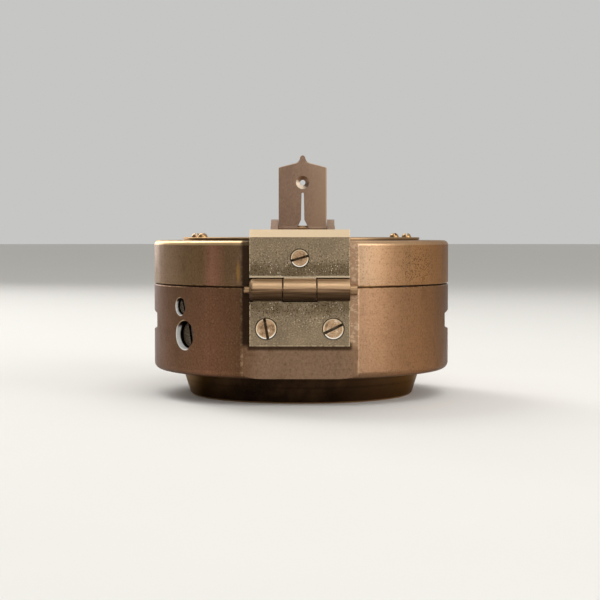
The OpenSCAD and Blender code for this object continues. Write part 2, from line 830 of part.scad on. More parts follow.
// Side view of an ear: an arm that leans back from the plate to a round end at the pin
module ear_outline(back_y) {
    under = -50;
    over = 125;
    front_y = flat_y + bracket_lid_gap;
    root_z = bracket_top_z - ear_root_h;
    translate([sight_pin_y, sight_pin_z])
        circle(r = ear_r);
    polygon([[front_y, root_z], [back_y, root_z],
        [sight_pin_y + ear_r * cos(under), sight_pin_z + ear_r * sin(under)], [sight_pin_y, sight_pin_z],
        [sight_pin_y + ear_r * cos(over), sight_pin_z + ear_r * sin(over)], [front_y, bracket_top_z]]);
}

module bracket_screws() {
    length = bracket_t - head_drop + screw_bite;
    slot_angles = [56, -56, 0];
    color(bright_brass)
    for (i = [0 : 2])
        translate([bracket_screw_spots[i][0], flat_y + bracket_t - head_drop, bracket_screw_spots[i][1]])
            rotate([0, 0, 180])
                flat_screw(lower_screw_d, shank_r, length, slot_angles[i]);
}

module sight_pin() {
    proud = 0.15;
    half_l = bracket_w / 2 + proud;
    pin_r = sight_pin_d / 2;
    color(bright_brass)
    translate([0, sight_pin_y, sight_pin_z])
        rotate([0, 90, 0])
            turned([[0, -half_l], [pin_r - proud, -half_l], [pin_r, -half_l + proud], [pin_r, half_l - proud],
                [pin_r - proud, half_l], [0, half_l]]);
}

// Sight: outline with shoulders and a point, peep hole, slit and flared foot
module sight_vane() {
    half_w = sight_w / 2;
    peak = sight_shoulder_h + sight_shoulder_rise;
    sink_r = peep_sink_d / 2;
    sink_y = 0.55 * sight_t;
    face_y = sight_knuckle_proud - sight_knuckle_r;
    color(brass)
    translate([0, sight_pin_y, sight_pin_z])
        difference() {
            union() {
                translate([0, face_y + sight_t, 0])
                    rotate([90, 0, 0])
                        linear_extrude(sight_t)
                            sight_outline(half_w, peak);
                rod_x(sight_knuckle_r, -half_w, half_w);
            }
            rod_x(sight_pin_d / 2 + running_fit, -half_w - 1, half_w + 1);
            translate([0, face_y, peep_h]) {
                rod_y(peep_d / 2, -1, sight_t + 1);
                rotate([-90, 0, 0])
                    turned([[0, -1], [sink_r + 1, -1], [sink_r, 0], [peep_d / 2 - 0.2, sink_y], [0, sink_y]]);
            }
            rotate([90, 0, 0])
                linear_extrude(3 * sight_knuckle_r, center = true)
                    slit_outline();
        }
}

// Half of the point's edge: a hollow arc that runs into a round tip
function point_edge(peak) =
    let (tip_z = sight_point_h - sight_tip_r,
        hollow_r = (sight_point_w * sight_point_w / sight_point_h + sight_point_h - 2 * sight_tip_r) / 2,
        lean = atan2(hollow_r - tip_z, sight_point_w))
    concat(arc(sight_point_w, peak + hollow_r, hollow_r, 270, 180 + lean, 8),
        arc(0, peak + tip_z, sight_tip_r, lean, 90, 6));

module sight_outline(half_w, peak) {
    corner = 0.35;
    edge = point_edge(peak);
    right = concat([[half_w, 0], [half_w, sight_shoulder_h - corner],
        [half_w - corner, sight_shoulder_h]], edge);
    last = len(right) - 1;
    polygon(concat(right, [for (i = [last - 1 : -1 : 0]) [-right[i][0], right[i][1]]]));
}

// Slit with a narrow round top, flared at the foot so that the pin shows
module slit_outline() {
    top_r = 0.35 * slit_w;
    half_flare = flare_w / 2;
    half_slit = slit_w / 2;
    foot_z = -2 * sight_knuckle_r;
    polygon(concat([[-half_flare, foot_z], [half_flare, foot_z], [half_flare, 0], [half_slit, slit_foot_h]],
        arc(0, slit_top_h - top_r, top_r, 0, 180, 8), [[-half_slit, slit_foot_h], [-half_flare, 0]]));
}

module dial_plate() {
    dial_r = cavity_r - pass_gap;
    color(silvered)
    difference() {
        turned([[dial_hole_r, dial_z], [dial_r, dial_z], [dial_r, dial_z + dial_t],
            [dial_hole_r, dial_z + dial_t]]);
        for (angle = dial_screw_angles)
            rotate([0, 0, angle])
                translate([dial_screw_r, 0, dial_z - 1])
                    cylinder(r = dial_screw_d / 2 + seat_fit, h = dial_t + 2);
    }
}

module dial_screws() {
    slot_w = 0.4;
    end_gap = 0.1;
    color(bright_brass)
    for (angle = dial_screw_angles)
        rotate([0, 0, angle])
            translate([dial_screw_r, 0, dial_z])
                difference() {
                    translate([0, 0, end_gap - dial_screw_l])
                        cylinder(d = dial_screw_d, h = dial_screw_l + dial_t - end_gap);
                    translate([-dial_screw_d, -slot_w / 2, dial_t - slot_w])
                        cube([2 * dial_screw_d, slot_w, 1]);
                }
}

module clamp_screw() {
    head_t = 1.1;
    head_x = case_r - clamp_recess_depth;
    slot_w = 0.6;
    slot_angle = -70;
    color(bright_brass)
    side_bearing()
        translate([0, 0, clamp_z])
            rotate([0, 0, -clamp_turn])
                difference() {
                    union() {
                        rod_x(clamp_recess_d / 2 - recessed_head_gap, head_x + rest_gap, head_x + head_t);
                        rod_x(clamp_shank_r, ring_r + rest_gap, head_x + head_t / 2);
                    }
                    rotate([slot_angle, 0, 0])
                        translate([head_x + head_t - slot_w, -case_r, -slot_w / 2])
                            cube([1, case_d, slot_w]);
                }
}

module crystal() {
    crystal_bevel = 0.3;
    crystal_r = rim_r - seat_fit;
    color(glass)
    turned([[0, crystal_z], [crystal_r, crystal_z], [crystal_r, bezel_z - crystal_bevel],
        [crystal_r - crystal_bevel, bezel_z], [0, bezel_z]]);
}

module crystal_ring() {
    bezel_r = rim_r - seat_fit;
    bezel_in_r = bezel_r - bezel_lap;
    bezel_top_z = bezel_z + bezel_h;
    bezel_bevel = 0.5;
    color(bright_brass)
    turned([[bezel_in_r, bezel_z], [bezel_r, bezel_z], [bezel_r, bezel_top_z],
        [bezel_in_r + bezel_bevel, bezel_top_z], [bezel_in_r, bezel_top_z - bezel_bevel]]);
}

// One straight-sided gap between crown teeth, along X, widening towards the pinion
module crown_gap() {
    half = tooth_pitch / 4 + backlash / 4;
    drop = crown_add + 0.3;
    root_half = half - crown_root * tan(pressure);
    mouth_half = half + drop * tan(pressure);
    translate([mesh_r, 0, pitch_z])
        rotate([90, 0, 90])
            linear_extrude(2 * tooth_band_w, center = true)
                polygon([[-root_half, crown_root], [-mouth_half, -drop], [mouth_half, -drop],
                    [root_half, crown_root]]);
}

// Degree ring with crown teeth under its inner band
module azimuth_ring() {
    bevel = 0.3;
    tip_z = pitch_z - crown_add;
    color(silvered)
    side_bearing()
        difference() {
            turned([[band_in_r, tip_z], [band_out_r, tip_z], [band_out_r, ring_z], [ring_out_r, ring_z],
                [ring_out_r, ring_top_z - bevel], [ring_out_r - bevel, ring_top_z],
                [band_in_r + bevel, ring_top_z], [band_in_r, ring_top_z - bevel]]);
            for (i = [0 : ring_teeth - 1])
                rotate([0, 0, i * 360 / ring_teeth])
                    crown_gap();
        }
}

// Half angle of a pinion tooth at radius r, on an involute flank
function roll(a) = tan(a) * 180 / PI - a;
function half_tooth(r) =
    (tooth_pitch / 2 - backlash / 2) / (2 * pinion_pitch_r) * 180 / PI + roll(pressure)
    - (r > pinion_base_r ? roll(acos(pinion_base_r / r)) : 0);
function polar(r, a) = [r * cos(a), r * sin(a)];

module pinion_outline() {
    steps = 4;
    radii = concat([pinion_root_r],
        [for (i = [0 : steps]) pinion_base_r + (pinion_tip_r - pinion_base_r) * i / steps]);
    count = len(radii);
    polygon([for (k = [0 : pinion_teeth - 1], i = [0 : 2 * count - 1])
        let (rising = i < count, r = radii[rising ? i : 2 * count - 1 - i])
        polar(r, 90 + k * 360 / pinion_teeth + (rising ? -1 : 1) * half_tooth(r))]);
}

module declination_pinion() {
    hub_r = pinion_root_r - 0.3;
    hub_end = cavity_r - 0.2;
    color(bright_brass)
    side_bearing()
        translate([0, 0, pinion_z])
            difference() {
                union() {
                    translate([mesh_r, 0, 0])
                        rotate([90, 0, 90])
                            linear_extrude(pinion_w, center = true)
                                pinion_outline();
                    rod_x(hub_r, mesh_r, hub_end);
                }
                rod_x(decl_shaft_d / 2 + seat_fit, 0, case_r);
            }
}

module declination_screw() {
    head_t = 2.5;
    head_x = case_r - decl_recess_depth + 2 * rest_gap;
    shaft_x = mesh_r - pinion_w / 2 - 0.3;
    slot_w = 0.9;
    slot_cut = 1.1;
    slot_angle = 12;
    color(bright_brass)
    side_bearing()
        translate([0, 0, pinion_z])
            difference() {
                union() {
                    rod_x(decl_recess_d / 2 - recessed_head_gap, head_x, head_x + head_t);
                    rod_x(decl_shaft_d / 2, shaft_x, head_x + head_t / 2);
                }
                rotate([slot_angle, 0, 0])
                    translate([head_x + head_t - slot_cut, -slot_w / 2, -case_r])
                        cube([2, slot_w, case_d]);
            }
}

module lift_pin() {
    pin_bevel = 0.2;
    pin_r = lift_pin_d / 2;
    foot_z = lifter_z + lifter_t + rest_gap;
    top_z = lid_z - seat_fit;
    color(steel)
    lifter_bearing()
        translate([lift_pin_r, 0, 0])
            turned([[0, foot_z], [pin_r, foot_z], [pin_r, top_z - pin_bevel], [pin_r - pin_bevel, top_z],
                [0, top_z]]);
}

// Bracket on the case wall that carries the lifter's fulcrum
module lifter_bracket() {
    half_w = lifter_bracket_half;
    inner_r = fulcrum_r - 1.3;
    foot_z = dial_z + dial_t;
    top_z = fulcrum_z + 1.2;
    web_z = lifter_z - 1.6;
    color(pale_brass)
    lifter_bearing()
        difference() {
            intersection() {
                translate([inner_r, -half_w, foot_z])
                    cube([lower_wall, 2 * half_w, top_z - foot_z]);
                cylinder(r = cavity_r - seat_fit, h = lid_z);
            }
            translate([inner_r - 1, -lifter_slot_half, web_z])
                cube([2 * lower_wall, 2 * lifter_slot_half, case_r]);
            translate([fulcrum_r, 0, fulcrum_z])
                rod_y(fulcrum_pin_d / 2 + seat_fit, -half_w - 1, half_w + 1);
        }
}

module fulcrum_pin() {
    half_l = lifter_bracket_half - 0.1;
    color(steel)
    lifter_bearing()
        translate([fulcrum_r, 0, fulcrum_z])
            rod_y(fulcrum_pin_d / 2, -half_l, half_l);
}

// Bent strip from under the lift pin to an eye round the pivot
module needle_lifter() {
    out_r = slot_end_r - pass_gap;
    bend_out = fulcrum_r - 2.5;
    bend_in = bend_out - 4.5;
    bend_shift = 0.2;
    under = lifter_z;
    over = lifter_top_z;
    color(steel)
    lifter_bearing()
        difference() {
            union() {
                rotate([90, 0, 0])
                    linear_extrude(lifter_w, center = true)
                        polygon([[out_r, under], [bend_out, under], [bend_in, over], [lifter_eye_r, over],
                            [lifter_eye_r, over + lifter_t], [bend_in - bend_shift, over + lifter_t],
                            [bend_out - bend_shift, under + lifter_t], [out_r, under + lifter_t]]);
                translate([0, 0, over])
                    cylinder(r = lifter_ring_r, h = lifter_t);
                translate([fulcrum_r, 0, fulcrum_z])
                    rod_y(fulcrum_pin_d / 2 + lifter_barrel_wall, -lifter_w / 2, lifter_w / 2);
            }
            translate([0, 0, over - 1])
                cylinder(r = lifter_eye_r, h = lifter_t + 2);
            translate([fulcrum_r, 0, fulcrum_z])
                rod_y(fulcrum_pin_d / 2 + running_fit, -lifter_w, lifter_w);
        }
}

// Slim pointed blade, north end towards the hinge
module compass_needle() {
    half_l = needle_l / 2;
    half_w = needle_w / 2;
    half_tip = needle_tip_w / 2;
    color(steel)
    translate([0, 0, blade_z])
        linear_extrude(needle_t)
            difference() {
                polygon([[0, -half_l], [half_w, 0], [half_tip, half_l], [-half_tip, half_l], [-half_w, 0]]);
                circle(r = cap_d / 2 + seat_fit);
            }
}

module needle_cap() {
    cap_r = cap_d / 2;
    cup_r = pivot_d / 2 + 0.4;
    cup_cone_h = 1.2;
    cup_top_z = pivot_tip_z + rest_gap;
    dome = 0.4;
    flange_top_z = cap_z + cap_flange_t;
    color(bright_brass)
    turned([[cup_r, cap_z], [cap_flange_r, cap_z], [cap_flange_r, flange_top_z], [cap_r, flange_top_z],
        [cap_r, cap_top_z - dome], [cap_r - dome, cap_top_z], [0, cap_top_z], [0, cup_top_z],
        [cup_r, cup_top_z - cup_cone_h]]);
}

// Balance weight bent round the needle's south arm
module needle_weight() {
    wrap_t = 0.35;
    wrap_l = 2;
    place = 0.55;
    slot_w = needle_w + (needle_tip_w - needle_w) * place + 2 * seat_fit;
    slot_t = needle_t + 2 * seat_fit;
    color(bright_brass)
    translate([0, needle_l / 2 * place, blade_z - seat_fit])
        difference() {
            translate([-slot_w / 2 - wrap_t, 0, -wrap_t])
                cube([slot_w + 2 * wrap_t, wrap_l, slot_t + 2 * wrap_t]);
            translate([-slot_w / 2, -1, 0])
                cube([slot_w, wrap_l + 2, slot_t]);
        }
}

module needle_pivot() {
    pivot_r = pivot_d / 2;
    color(steel)
    turned([[0, pivot_root_z], [pivot_r, pivot_root_z], [pivot_r, pivot_tip_z - pivot_cone_h],
        [0, pivot_tip_z]]);
}

// Shaft through the floor, riveted over the arm, tapped for the lever's screw
module clinometer_shaft() {
    rivet_r = shaft_r + 1;
    rivet_z = arm_top_z + rest_gap;
    top_z = arm_top_z + 0.6;
    flange_z = floor_z + rest_gap;
    color(bright_brass)
    difference() {
        turned([[0, shaft_end_z], [shaft_r, shaft_end_z], [shaft_r, flange_z], [shaft_flange_r, flange_z],
            [shaft_flange_r, arm_z], [shaft_r, arm_z], [shaft_r, rivet_z], [rivet_r, rivet_z],
            [rivet_r, top_z], [0, top_z]]);
        translate([0, 0, pivot_root_z - 2 * rest_gap])
            cylinder(r = pivot_d / 2 + seat_fit, h = top_z);
        translate([0, 0, lever_hub_z - 1])
            cylinder(r = lever_screw_r + seat_fit, h = body_z - lever_hub_z + 1);
    }
}

// Arm with a pointer sector for the vernier, and seats for both levels
module vernier_arm() {
    spread = 16;
    sector_w = 5.8;
    seat_r = round_level_d / 2 + 0.4;
    hub_r = shaft_flange_r + 1;
    bar_w = 8;
    color(silvered)
    translate([0, 0, arm_z])
        linear_extrude(arm_t)
            difference() {
                union() {
                    circle(r = hub_r);
                    translate([-bar_w / 2, 0])
                        square([bar_w, arm_reach - sector_w / 2]);
                    translate([-bar_w / 2, -round_level_offset])
                        square([bar_w, round_level_offset]);
                    translate([0, -round_level_offset])
                        circle(r = seat_r);
                    translate([-level_tube_l / 2 + 1, level_offset - level_tube_d / 2])
                        square([level_tube_l - 2, level_tube_d]);
                    intersection() {
                        difference() {
                            circle(r = arm_reach);
                            circle(r = arm_reach - sector_w);
                        }
                        polygon([[0, 0], [case_d * tan(spread), case_d], [-case_d * tan(spread), case_d]]);
                    }
                }
                circle(r = shaft_r + seat_fit);
            }
}

// Brass tube of the long level, cut open along its top
module level_tube() {
    tube_r = level_tube_d / 2;
    bore_r = tube_r - level_tube_wall;
    foot_w = 0.7 * level_tube_d;
    foot_l = 0.66 * level_tube_l;
    window_l = 0.62 * level_tube_l;
    window_w = 0.6 * level_tube_d;
    color(bright_brass)
    translate([0, level_offset, level_z])
        difference() {
            union() {
                rod_x(tube_r, -level_tube_l / 2, level_tube_l / 2);
                translate([-foot_l / 2, -foot_w / 2, -tube_r - level_foot])
                    cube([foot_l, foot_w, tube_r]);
            }
            rod_x(bore_r, -level_tube_l, level_tube_l);
            translate([-window_l / 2, -window_w / 2, 0])
                cube([window_l, window_w, level_tube_d]);
        }
}

// Plugs that close the long level's tube
module level_caps() {
    plug_r = level_tube_d / 2 - level_tube_wall - seat_fit;
    color(bright_brass)
    translate([0, level_offset, level_z])
        for (side = [0, 180])
            rotate([0, 0, side])
                rod_x(plug_r, level_tube_l / 2 - level_plug_t, level_tube_l / 2);
}

module level_vial() {
    vial_r = level_tube_d / 2 - level_tube_wall - 2 * rest_gap;
    half_l = level_tube_l / 2 - level_plug_t - pass_gap;
    end_round = 0.8;
    color(glass)
    translate([0, level_offset, level_z])
        rotate([0, 90, 0])
            turned(concat([[0, -half_l]], arc(vial_r - end_round, -half_l + end_round, end_round, -90, 0, 6),
                arc(vial_r - end_round, half_l - end_round, end_round, 0, 90, 6), [[0, half_l]]));
}

module round_level_cup() {
    cup_r = round_level_d / 2;
    bore_r = cup_r - round_level_wall;
    bevel = 0.3;
    color(bright_brass)
    translate([0, -round_level_offset, arm_top_z])
        turned([[0, 0], [cup_r, 0], [cup_r, round_level_h - bevel], [cup_r - bevel, round_level_h],
            [bore_r, round_level_h], [bore_r, round_level_base_t], [0, round_level_base_t]]);
}

// Domed glass of the round level
module round_level_glass() {
    glass_r = round_level_d / 2 - round_level_wall - seat_fit;
    base_z = round_level_base_t + rest_gap;
    edge_z = round_level_h - 0.9;
    rise = 0.6;
    dome_r = (glass_r * glass_r + rise * rise) / (2 * rise);
    dome_z = edge_z + rise - dome_r;
    start = asin((dome_r - rise) / dome_r);
    color(glass)
    translate([0, -round_level_offset, arm_top_z])
        turned(concat([[0, base_z], [glass_r, base_z]], arc(0, dome_z, dome_r, start, 90)));
}

// Spring washer that gives the lever its drag
module friction_washer() {
    washer_bore_r = shaft_r + washer_gap;
    washer_r = washer_bore_r + washer_w;
    color(steel)
    turned([[washer_bore_r, lever_top_z + rest_gap], [washer_r, lever_top_z + rest_gap],
        [washer_r, body_z - rest_gap], [washer_bore_r, body_z - rest_gap]]);
}

// Finger lever in the foot's recess, with a turned-down tip
module clinometer_lever() {
    hub_r = shaft_r + lever_hub_wall;
    tip_r = lever_w / 2 - 0.6;
    tip_y = lever_l - tip_r;
    lip_t = 1.2;
    color(bright_brass)
    difference() {
        union() {
            translate([0, 0, lever_hub_z])
                cylinder(r = hub_r, h = lever_top_z - lever_hub_z);
            translate([0, 0, lever_hub_z])
                linear_extrude(lever_t)
                    polygon([[-lever_w / 2, 0], [lever_w / 2, 0], [tip_r, tip_y], [-tip_r, tip_y]]);
            translate([0, tip_y, lever_hub_z - lip_t])
                cylinder(r = tip_r, h = lever_t + lip_t);
        }
        translate([0, 0, shaft_end_z - seat_fit])
            cylinder(r = shaft_r + seat_fit, h = body_z);
        translate([0, 0, lever_hub_z - 1])
            cylinder(r = lever_screw_r + seat_fit, h = body_z);
    }
}

module lever_screw() {
    head_z = lever_hub_z - lever_head_t;
    neck_z = lever_hub_z - seat_fit;
    end_z = body_z - 1;
    color(steel)
    difference() {
        turned([[0, head_z], [lever_head_r, head_z], [lever_head_r, neck_z], [lever_screw_r, neck_z],
            [lever_screw_r, end_z], [0, end_z]]);
        translate([-lever_head_slot / 2, -case_r, head_z - 1])
            cube([lever_head_slot, case_d, 1 + lever_head_slot]);
    }
}

case_body();
foot_ring();
foot_screws();
lower_hinge_leaf();
lower_leaf_screws();
hinge_pin();
sight_bracket();
bracket_screws();
sight_pin();
dial_plate();
dial_screws();
clamp_screw();
crystal();
crystal_ring();
lifter_bracket();
fulcrum_pin();
lid_shell();
lid_top_plate();
lid_plate_screws();
mirror();
mirror_clips();
upper_hinge_leaf();
upper_leaf_screw();
sight_vane();
compass_needle();
needle_cap();
needle_weight();
azimuth_ring();
declination_screw();
declination_pinion();
lift_pin();
needle_lifter();
clinometer_shaft();
needle_pivot();
vernier_arm();
level_tube();
level_caps();
level_vial();
round_level_cup();
round_level_glass();
friction_washer();
clinometer_lever();
lever_screw();
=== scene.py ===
"""Looks of a brass pocket transit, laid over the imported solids: aged brass, engraved scales, glass and
spirit levels.

Lengths are in millimetres, and become metres where they reach a mesh, a lamp or the camera.
"""
import math

import bpy
import numpy as np
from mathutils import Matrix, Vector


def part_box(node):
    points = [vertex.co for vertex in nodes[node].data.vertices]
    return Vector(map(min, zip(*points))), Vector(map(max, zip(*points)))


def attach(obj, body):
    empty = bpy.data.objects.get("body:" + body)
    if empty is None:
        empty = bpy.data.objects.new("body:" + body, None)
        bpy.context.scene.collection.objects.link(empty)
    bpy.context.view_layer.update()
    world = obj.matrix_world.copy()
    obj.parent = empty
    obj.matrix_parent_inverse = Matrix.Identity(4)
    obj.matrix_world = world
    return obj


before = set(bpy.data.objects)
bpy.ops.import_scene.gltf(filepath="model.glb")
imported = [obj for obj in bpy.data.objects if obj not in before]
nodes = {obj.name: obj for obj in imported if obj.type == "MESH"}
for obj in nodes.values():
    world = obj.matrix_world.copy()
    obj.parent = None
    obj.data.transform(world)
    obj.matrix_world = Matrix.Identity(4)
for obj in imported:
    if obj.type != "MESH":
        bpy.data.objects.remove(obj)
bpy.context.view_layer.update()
MM = 0.001


def span(node):
    """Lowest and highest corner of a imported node, in millimetres."""
    low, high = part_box(node)
    return np.array(low) / MM, np.array(high) / MM


# Case, lid and foot
case_high = span("case_body")[1]
lid_low, lid_high = span("lid_shell")
CASE_R = case_high[0]
FLAT_Y = case_high[1]
SEAM_Z = (case_high[2] + lid_low[2]) / 2
LID_TOP = lid_high[2]
CORNER_X = math.sqrt(CASE_R ** 2 - FLAT_Y ** 2)
PLATE_TOP = span("lid_top_plate")[1][2]
FOOT_R = span("foot_ring")[1][0]
# gap round the heads of the two side screws
HEAD_GAP = 0.35

# Hinge
pin_low, pin_high = span("hinge_pin")
leaf_low, leaf_high = span("lower_hinge_leaf")
AXIS_Y, AXIS_Z = (pin_low + pin_high)[1:] / 2
BARREL_R = AXIS_Y - leaf_low[1]
LEAF_HALF = leaf_high[0]
LEAF_FOOT = leaf_low[2]
LEAF_HEAD = span("upper_hinge_leaf")[1][2]
# height of the upper leaf's bevel, and thickness of both leaves
LEAF_BEVEL = 1.7
LEAF_THICK = 3.0

# Heads of the screws on the hinge's leaves and on the sight's bracket; X is that of the right one of a pair
upper_high = span("upper_leaf_screw")[1]
lower_low, lower_high = span("lower_leaf_screws")
back_low, back_high = span("bracket_screws")
UPPER_R = upper_high[0]
LOWER_R = (lower_high - lower_low)[2] / 2
UPPER_SPOT = (0, 0, upper_high[2] - UPPER_R)
LOWER_SPOT = (lower_high[0] - LOWER_R, 0, lower_high[2] - LOWER_R)
BACK_PAIR = (back_high[0] - LOWER_R, 0, back_low[2] + LOWER_R)
BACK_TOP = (0, 0, back_high[2] - LOWER_R)
SCREW_FACE = back_high[1]

# Sight
vane_low, vane_high = span("sight_vane")
SIGHT_HALF = vane_high[0]
SIGHT_FRONT = vane_low[1]
SIGHT_PIN_Z = sum(span("sight_pin"))[2] / 2
# the peep hole and its countersink, the sloping shoulders, and half the width of the point's foot
PEEP_Z = SIGHT_PIN_Z + 13.1
PEEP_SINK_R = 1.9
PEEP_SINK_DEPTH = 1.2
SHOULDER_Z = SIGHT_PIN_Z + 17.5
SHOULDER_SLOPE = 0.25
POINT_HALF = 2.5


def linear(code):
    """An sRGB hex colour as linear RGBA."""
    part = [int(code[i:i + 2], 16) / 255 for i in (1, 3, 5)]
    return tuple(c / 12.92 if c <= 0.04045 else ((c + 0.055) / 1.055) ** 2.4 for c in part) + (1.0,)


def add(tree, kind, sockets=(), stops=(), **settings):
    """Adds one shader node. Settings are its properties; sockets maps an input's name or number to a value,
    a hex colour, an output, or a node whose first enabled output is linked; stops are a ramp's places and
    colours."""
    node = tree.nodes.new("ShaderNode" + kind)
    for key, value in settings.items():
        setattr(node, key, value)
    for key, value in dict(sockets).items():
        named = (s for s in node.inputs if s.enabled and s.name == key)
        target = node.inputs[key] if isinstance(key, int) else next(named)
        if isinstance(value, bpy.types.Node):
            value = next(s for s in value.outputs if s.enabled)
        if isinstance(value, bpy.types.NodeSocket):
            tree.links.new(value, target)
        else:
            target.default_value = linear(value) if isinstance(value, str) else value
    if stops:
        ramp = node.color_ramp.elements
        while len(ramp) < len(stops):
            ramp.new(1.0)
        for element, (place, colour) in zip(ramp, stops):
            element.position, element.color = place, linear(colour)
    return node


def blank(name, **sockets):
    """A new material, its tree, its Principled shader with the given constants, and object coordinates in
    millimetres."""
    material = bpy.data.materials.new(name)
    material.use_nodes = True
    tree = material.node_tree
    tree.nodes.clear()
    shader = add(tree, "BsdfPrincipled", {key.replace("_", " "): value for key, value in sockets.items()})
    add(tree, "OutputMaterial", {"Surface": shader})
    place = add(tree, "TexCoord").outputs["Object"]
    mm = add(tree, "VectorMath", {0: place, "Scale": 1 / MM}, operation="SCALE")
    return material, tree, shader, mm


def grain(tree, mm, size, detail=2.0, rough=0.5):
    """Noise whose lumps measure size = (x, y, z) millimetres."""
    stretched = add(tree, "VectorMath", {0: mm, 1: [1 / s for s in size]}, operation="MULTIPLY")
    return add(tree, "TexNoise", {"Vector": stretched, "Scale": 1.0, "Detail": detail, "Roughness": rough})


def specks(tree, mm, cell, radius):
    """Soft round specks, one to a cell of that many millimetres, radius in cells."""
    cells = add(tree, "TexVoronoi", {"Vector": mm, "Scale": 1 / cell, "Randomness": 1.0})
    return add(tree, "MapRange", {"Value": cells, "From Min": radius, "From Max": radius / 3},
               interpolation_type="SMOOTHSTEP")


def off_line(tree, mm, centre, keep):
    """Distance from a line or a point: centre is in millimetres, keep weighs each axis and is 0 along the
    line."""
    gone = add(tree, "VectorMath", {0: mm, 1: centre}, operation="SUBTRACT")
    flat = add(tree, "VectorMath", {0: gone, 1: keep}, operation="MULTIPLY")
    return add(tree, "VectorMath", {0: flat}, operation="LENGTH").outputs["Value"]


def both(tree, value, low, high, other):
    """Product of other and a smooth step of value from 0 at low to 1 at high."""
    step = add(tree, "MapRange", {"Value": value, "From Min": low, "From Max": high},
               interpolation_type="SMOOTHSTEP")
    return add(tree, "Math", {0: step, 1: other}, operation="MULTIPLY")


def along(tree, mm, centre, way):
    """How far a point lies from a centre along a way, both in millimetres."""
    gone = add(tree, "VectorMath", {0: mm, 1: centre}, operation="SUBTRACT")
    return add(tree, "VectorMath", {0: gone, 1: way}, operation="DOT_PRODUCT").outputs["Value"]


def lay(tree, under, colour, value, low, high, strength=1.0):
    """Lays a colour over another, from none where value is low to the given strength where it is high."""
    step = add(tree, "MapRange", {"Value": value, "From Min": low, "From Max": high, "To Max": strength},
               interpolation_type="SMOOTHSTEP")
    return add(tree, "Mix", {"Factor": step, "A": under, "B": colour}, data_type="RGBA")


def skin(tree, shader, tone, value, low, high, relief=None, depth=0.0):
    """Wires a tone, a roughness that runs from low to high with a noise value, and a relief of depth
    millimetres."""
    rough = add(tree, "MapRange",
                {"Value": value, "From Min": 0.3, "From Max": 0.7, "To Min": low, "To Max": high})
    tree.links.new(next(s for s in tone.outputs if s.enabled), shader.inputs["Base Color"])
    tree.links.new(rough.outputs[0], shader.inputs["Roughness"])
    if relief:
        bump = add(tree, "Bump", {"Height": relief, "Strength": 0.35, "Distance": depth * MM})
        tree.links.new(bump.outputs[0], shader.inputs["Normal"])


def on_wall(bearing, z):
    """Point of the case's outer wall, its bearing in degrees from -Y towards +X."""
    a = math.radians(bearing)
    return CASE_R * math.sin(a), -CASE_R * math.cos(a), z


def wall_colours(tree, x, z):
    """Colours of the case's outer wall, with painted light across it: upright olive and rosy bands on the
    left of the lid, darker on the left as painted shade, a painted highlight at the far left edge, lighter
    and golden on the right as painted light, and browner ones on the body below the seam."""
    across = add(tree, "MapRange", {"Value": x, "From Min": -CASE_R, "From Max": CASE_R})
    # painted light across the wall: darker on the left, a painted highlight at the far left edge, lighter and
    # golden towards the right
    lid = add(tree, "ValToRGB", {"Fac": across}, [
        (0.0, "#c0a184"), (0.13, "#876c4f"), (0.2, "#87694b"), (0.22, "#a9765f"), (0.27, "#7f6448"),
        (0.37, "#8e725c"), (0.62, "#8e725c"), (0.7, "#9c8065"), (0.88, "#b38357"), (1.0, "#a67341")])
    body = add(tree, "ValToRGB", {"Fac": across}, [
        (0.0, "#96735e"), (0.1, "#765842"), (0.22, "#835c45"), (0.31, "#70513a"), (0.38, "#8b7059"),
        (0.62, "#8b7059"), (0.7, "#947358"), (0.88, "#996f4c"), (1.0, "#805934")])
    return lay(tree, lid, body, z, SEAM_Z + 0.1, SEAM_Z - 0.1)


def wall_pits(tree, mm, clouds):
    """Corrosion pits of the case: a crowd on the lid's right and a thin scatter elsewhere."""
    crowd_middle = on_wall(48.7, 33.0)
    off_crowd = off_line(tree, mm, crowd_middle, (0.9, 0.9, 1.3))
    crowd = both(tree, off_crowd, 10.0, 3.0, 1.0)
    crowd = both(tree, grain(tree, mm, (1.5, 1.5, 1.5), 3), 0.34, 0.5, crowd)
    pits = add(tree, "Math", {0: specks(tree, mm, 0.45, 0.5), 1: crowd}, operation="MULTIPLY")
    scatter = both(tree, clouds, 0.56, 0.66, specks(tree, mm, 1.5, 0.13))
    return add(tree, "Math", {0: pits, 1: scatter}, operation="MAXIMUM")


def side_holes(tree, mm, reach, tone):
    """Holes of the two side screws: painted shade inside, a painted highlight on the rim's left, and a pale
    painted gleam low on the left wall. Returns the tone and where it gleams."""
    inside = both(tree, reach, CASE_R - 0.1, CASE_R - 0.3, 1.0)
    gleam = 0.0
    for screw in ("declination_screw", "clamp_screw"):
        low, high = span(screw)
        middle = (low + high) / 2
        bore = (high - low)[2] / 2 + HEAD_GAP
        out = middle[:2] / np.hypot(*middle[:2])
        mouth = (*(CASE_R * out), middle[2])
        rim = off_line(tree, mm, mouth, (1, 1, 1))
        low_left = along(tree, mm, mouth, (0.8 * out[1], -0.8 * out[0], -0.6))
        left = along(tree, mm, mouth, (out[1], -out[0], 0))
        # painted highlight on the rim, on its left side only
        ring = both(tree, rim, bore + 0.35, bore + 0.1, both(tree, left, -1.0, 1.0, 1.0))
        tone = lay(tree, tone, "#e0c19c", ring, 0.0, 1.0, 0.8)
        # painted shade inside the hole
        tone = lay(tree, tone, "#1e1711", both(tree, rim, bore + 1.2, bore + 0.6, inside), 0.0, 1.0, 0.9)
        # a pale painted highlight low on the hole's left wall
        deep = math.hypot(bore, 0.5 * bore)
        lit = both(tree, rim, deep, deep - 0.12, both(tree, low_left, 0.1 * bore, 0.6 * bore, 1.0))
        gleam = add(tree, "Math", {0: gleam, 1: lit}, operation="MAXIMUM")
    return lay(tree, tone, "#f3f2ee", gleam, 0.0, 1.0), gleam


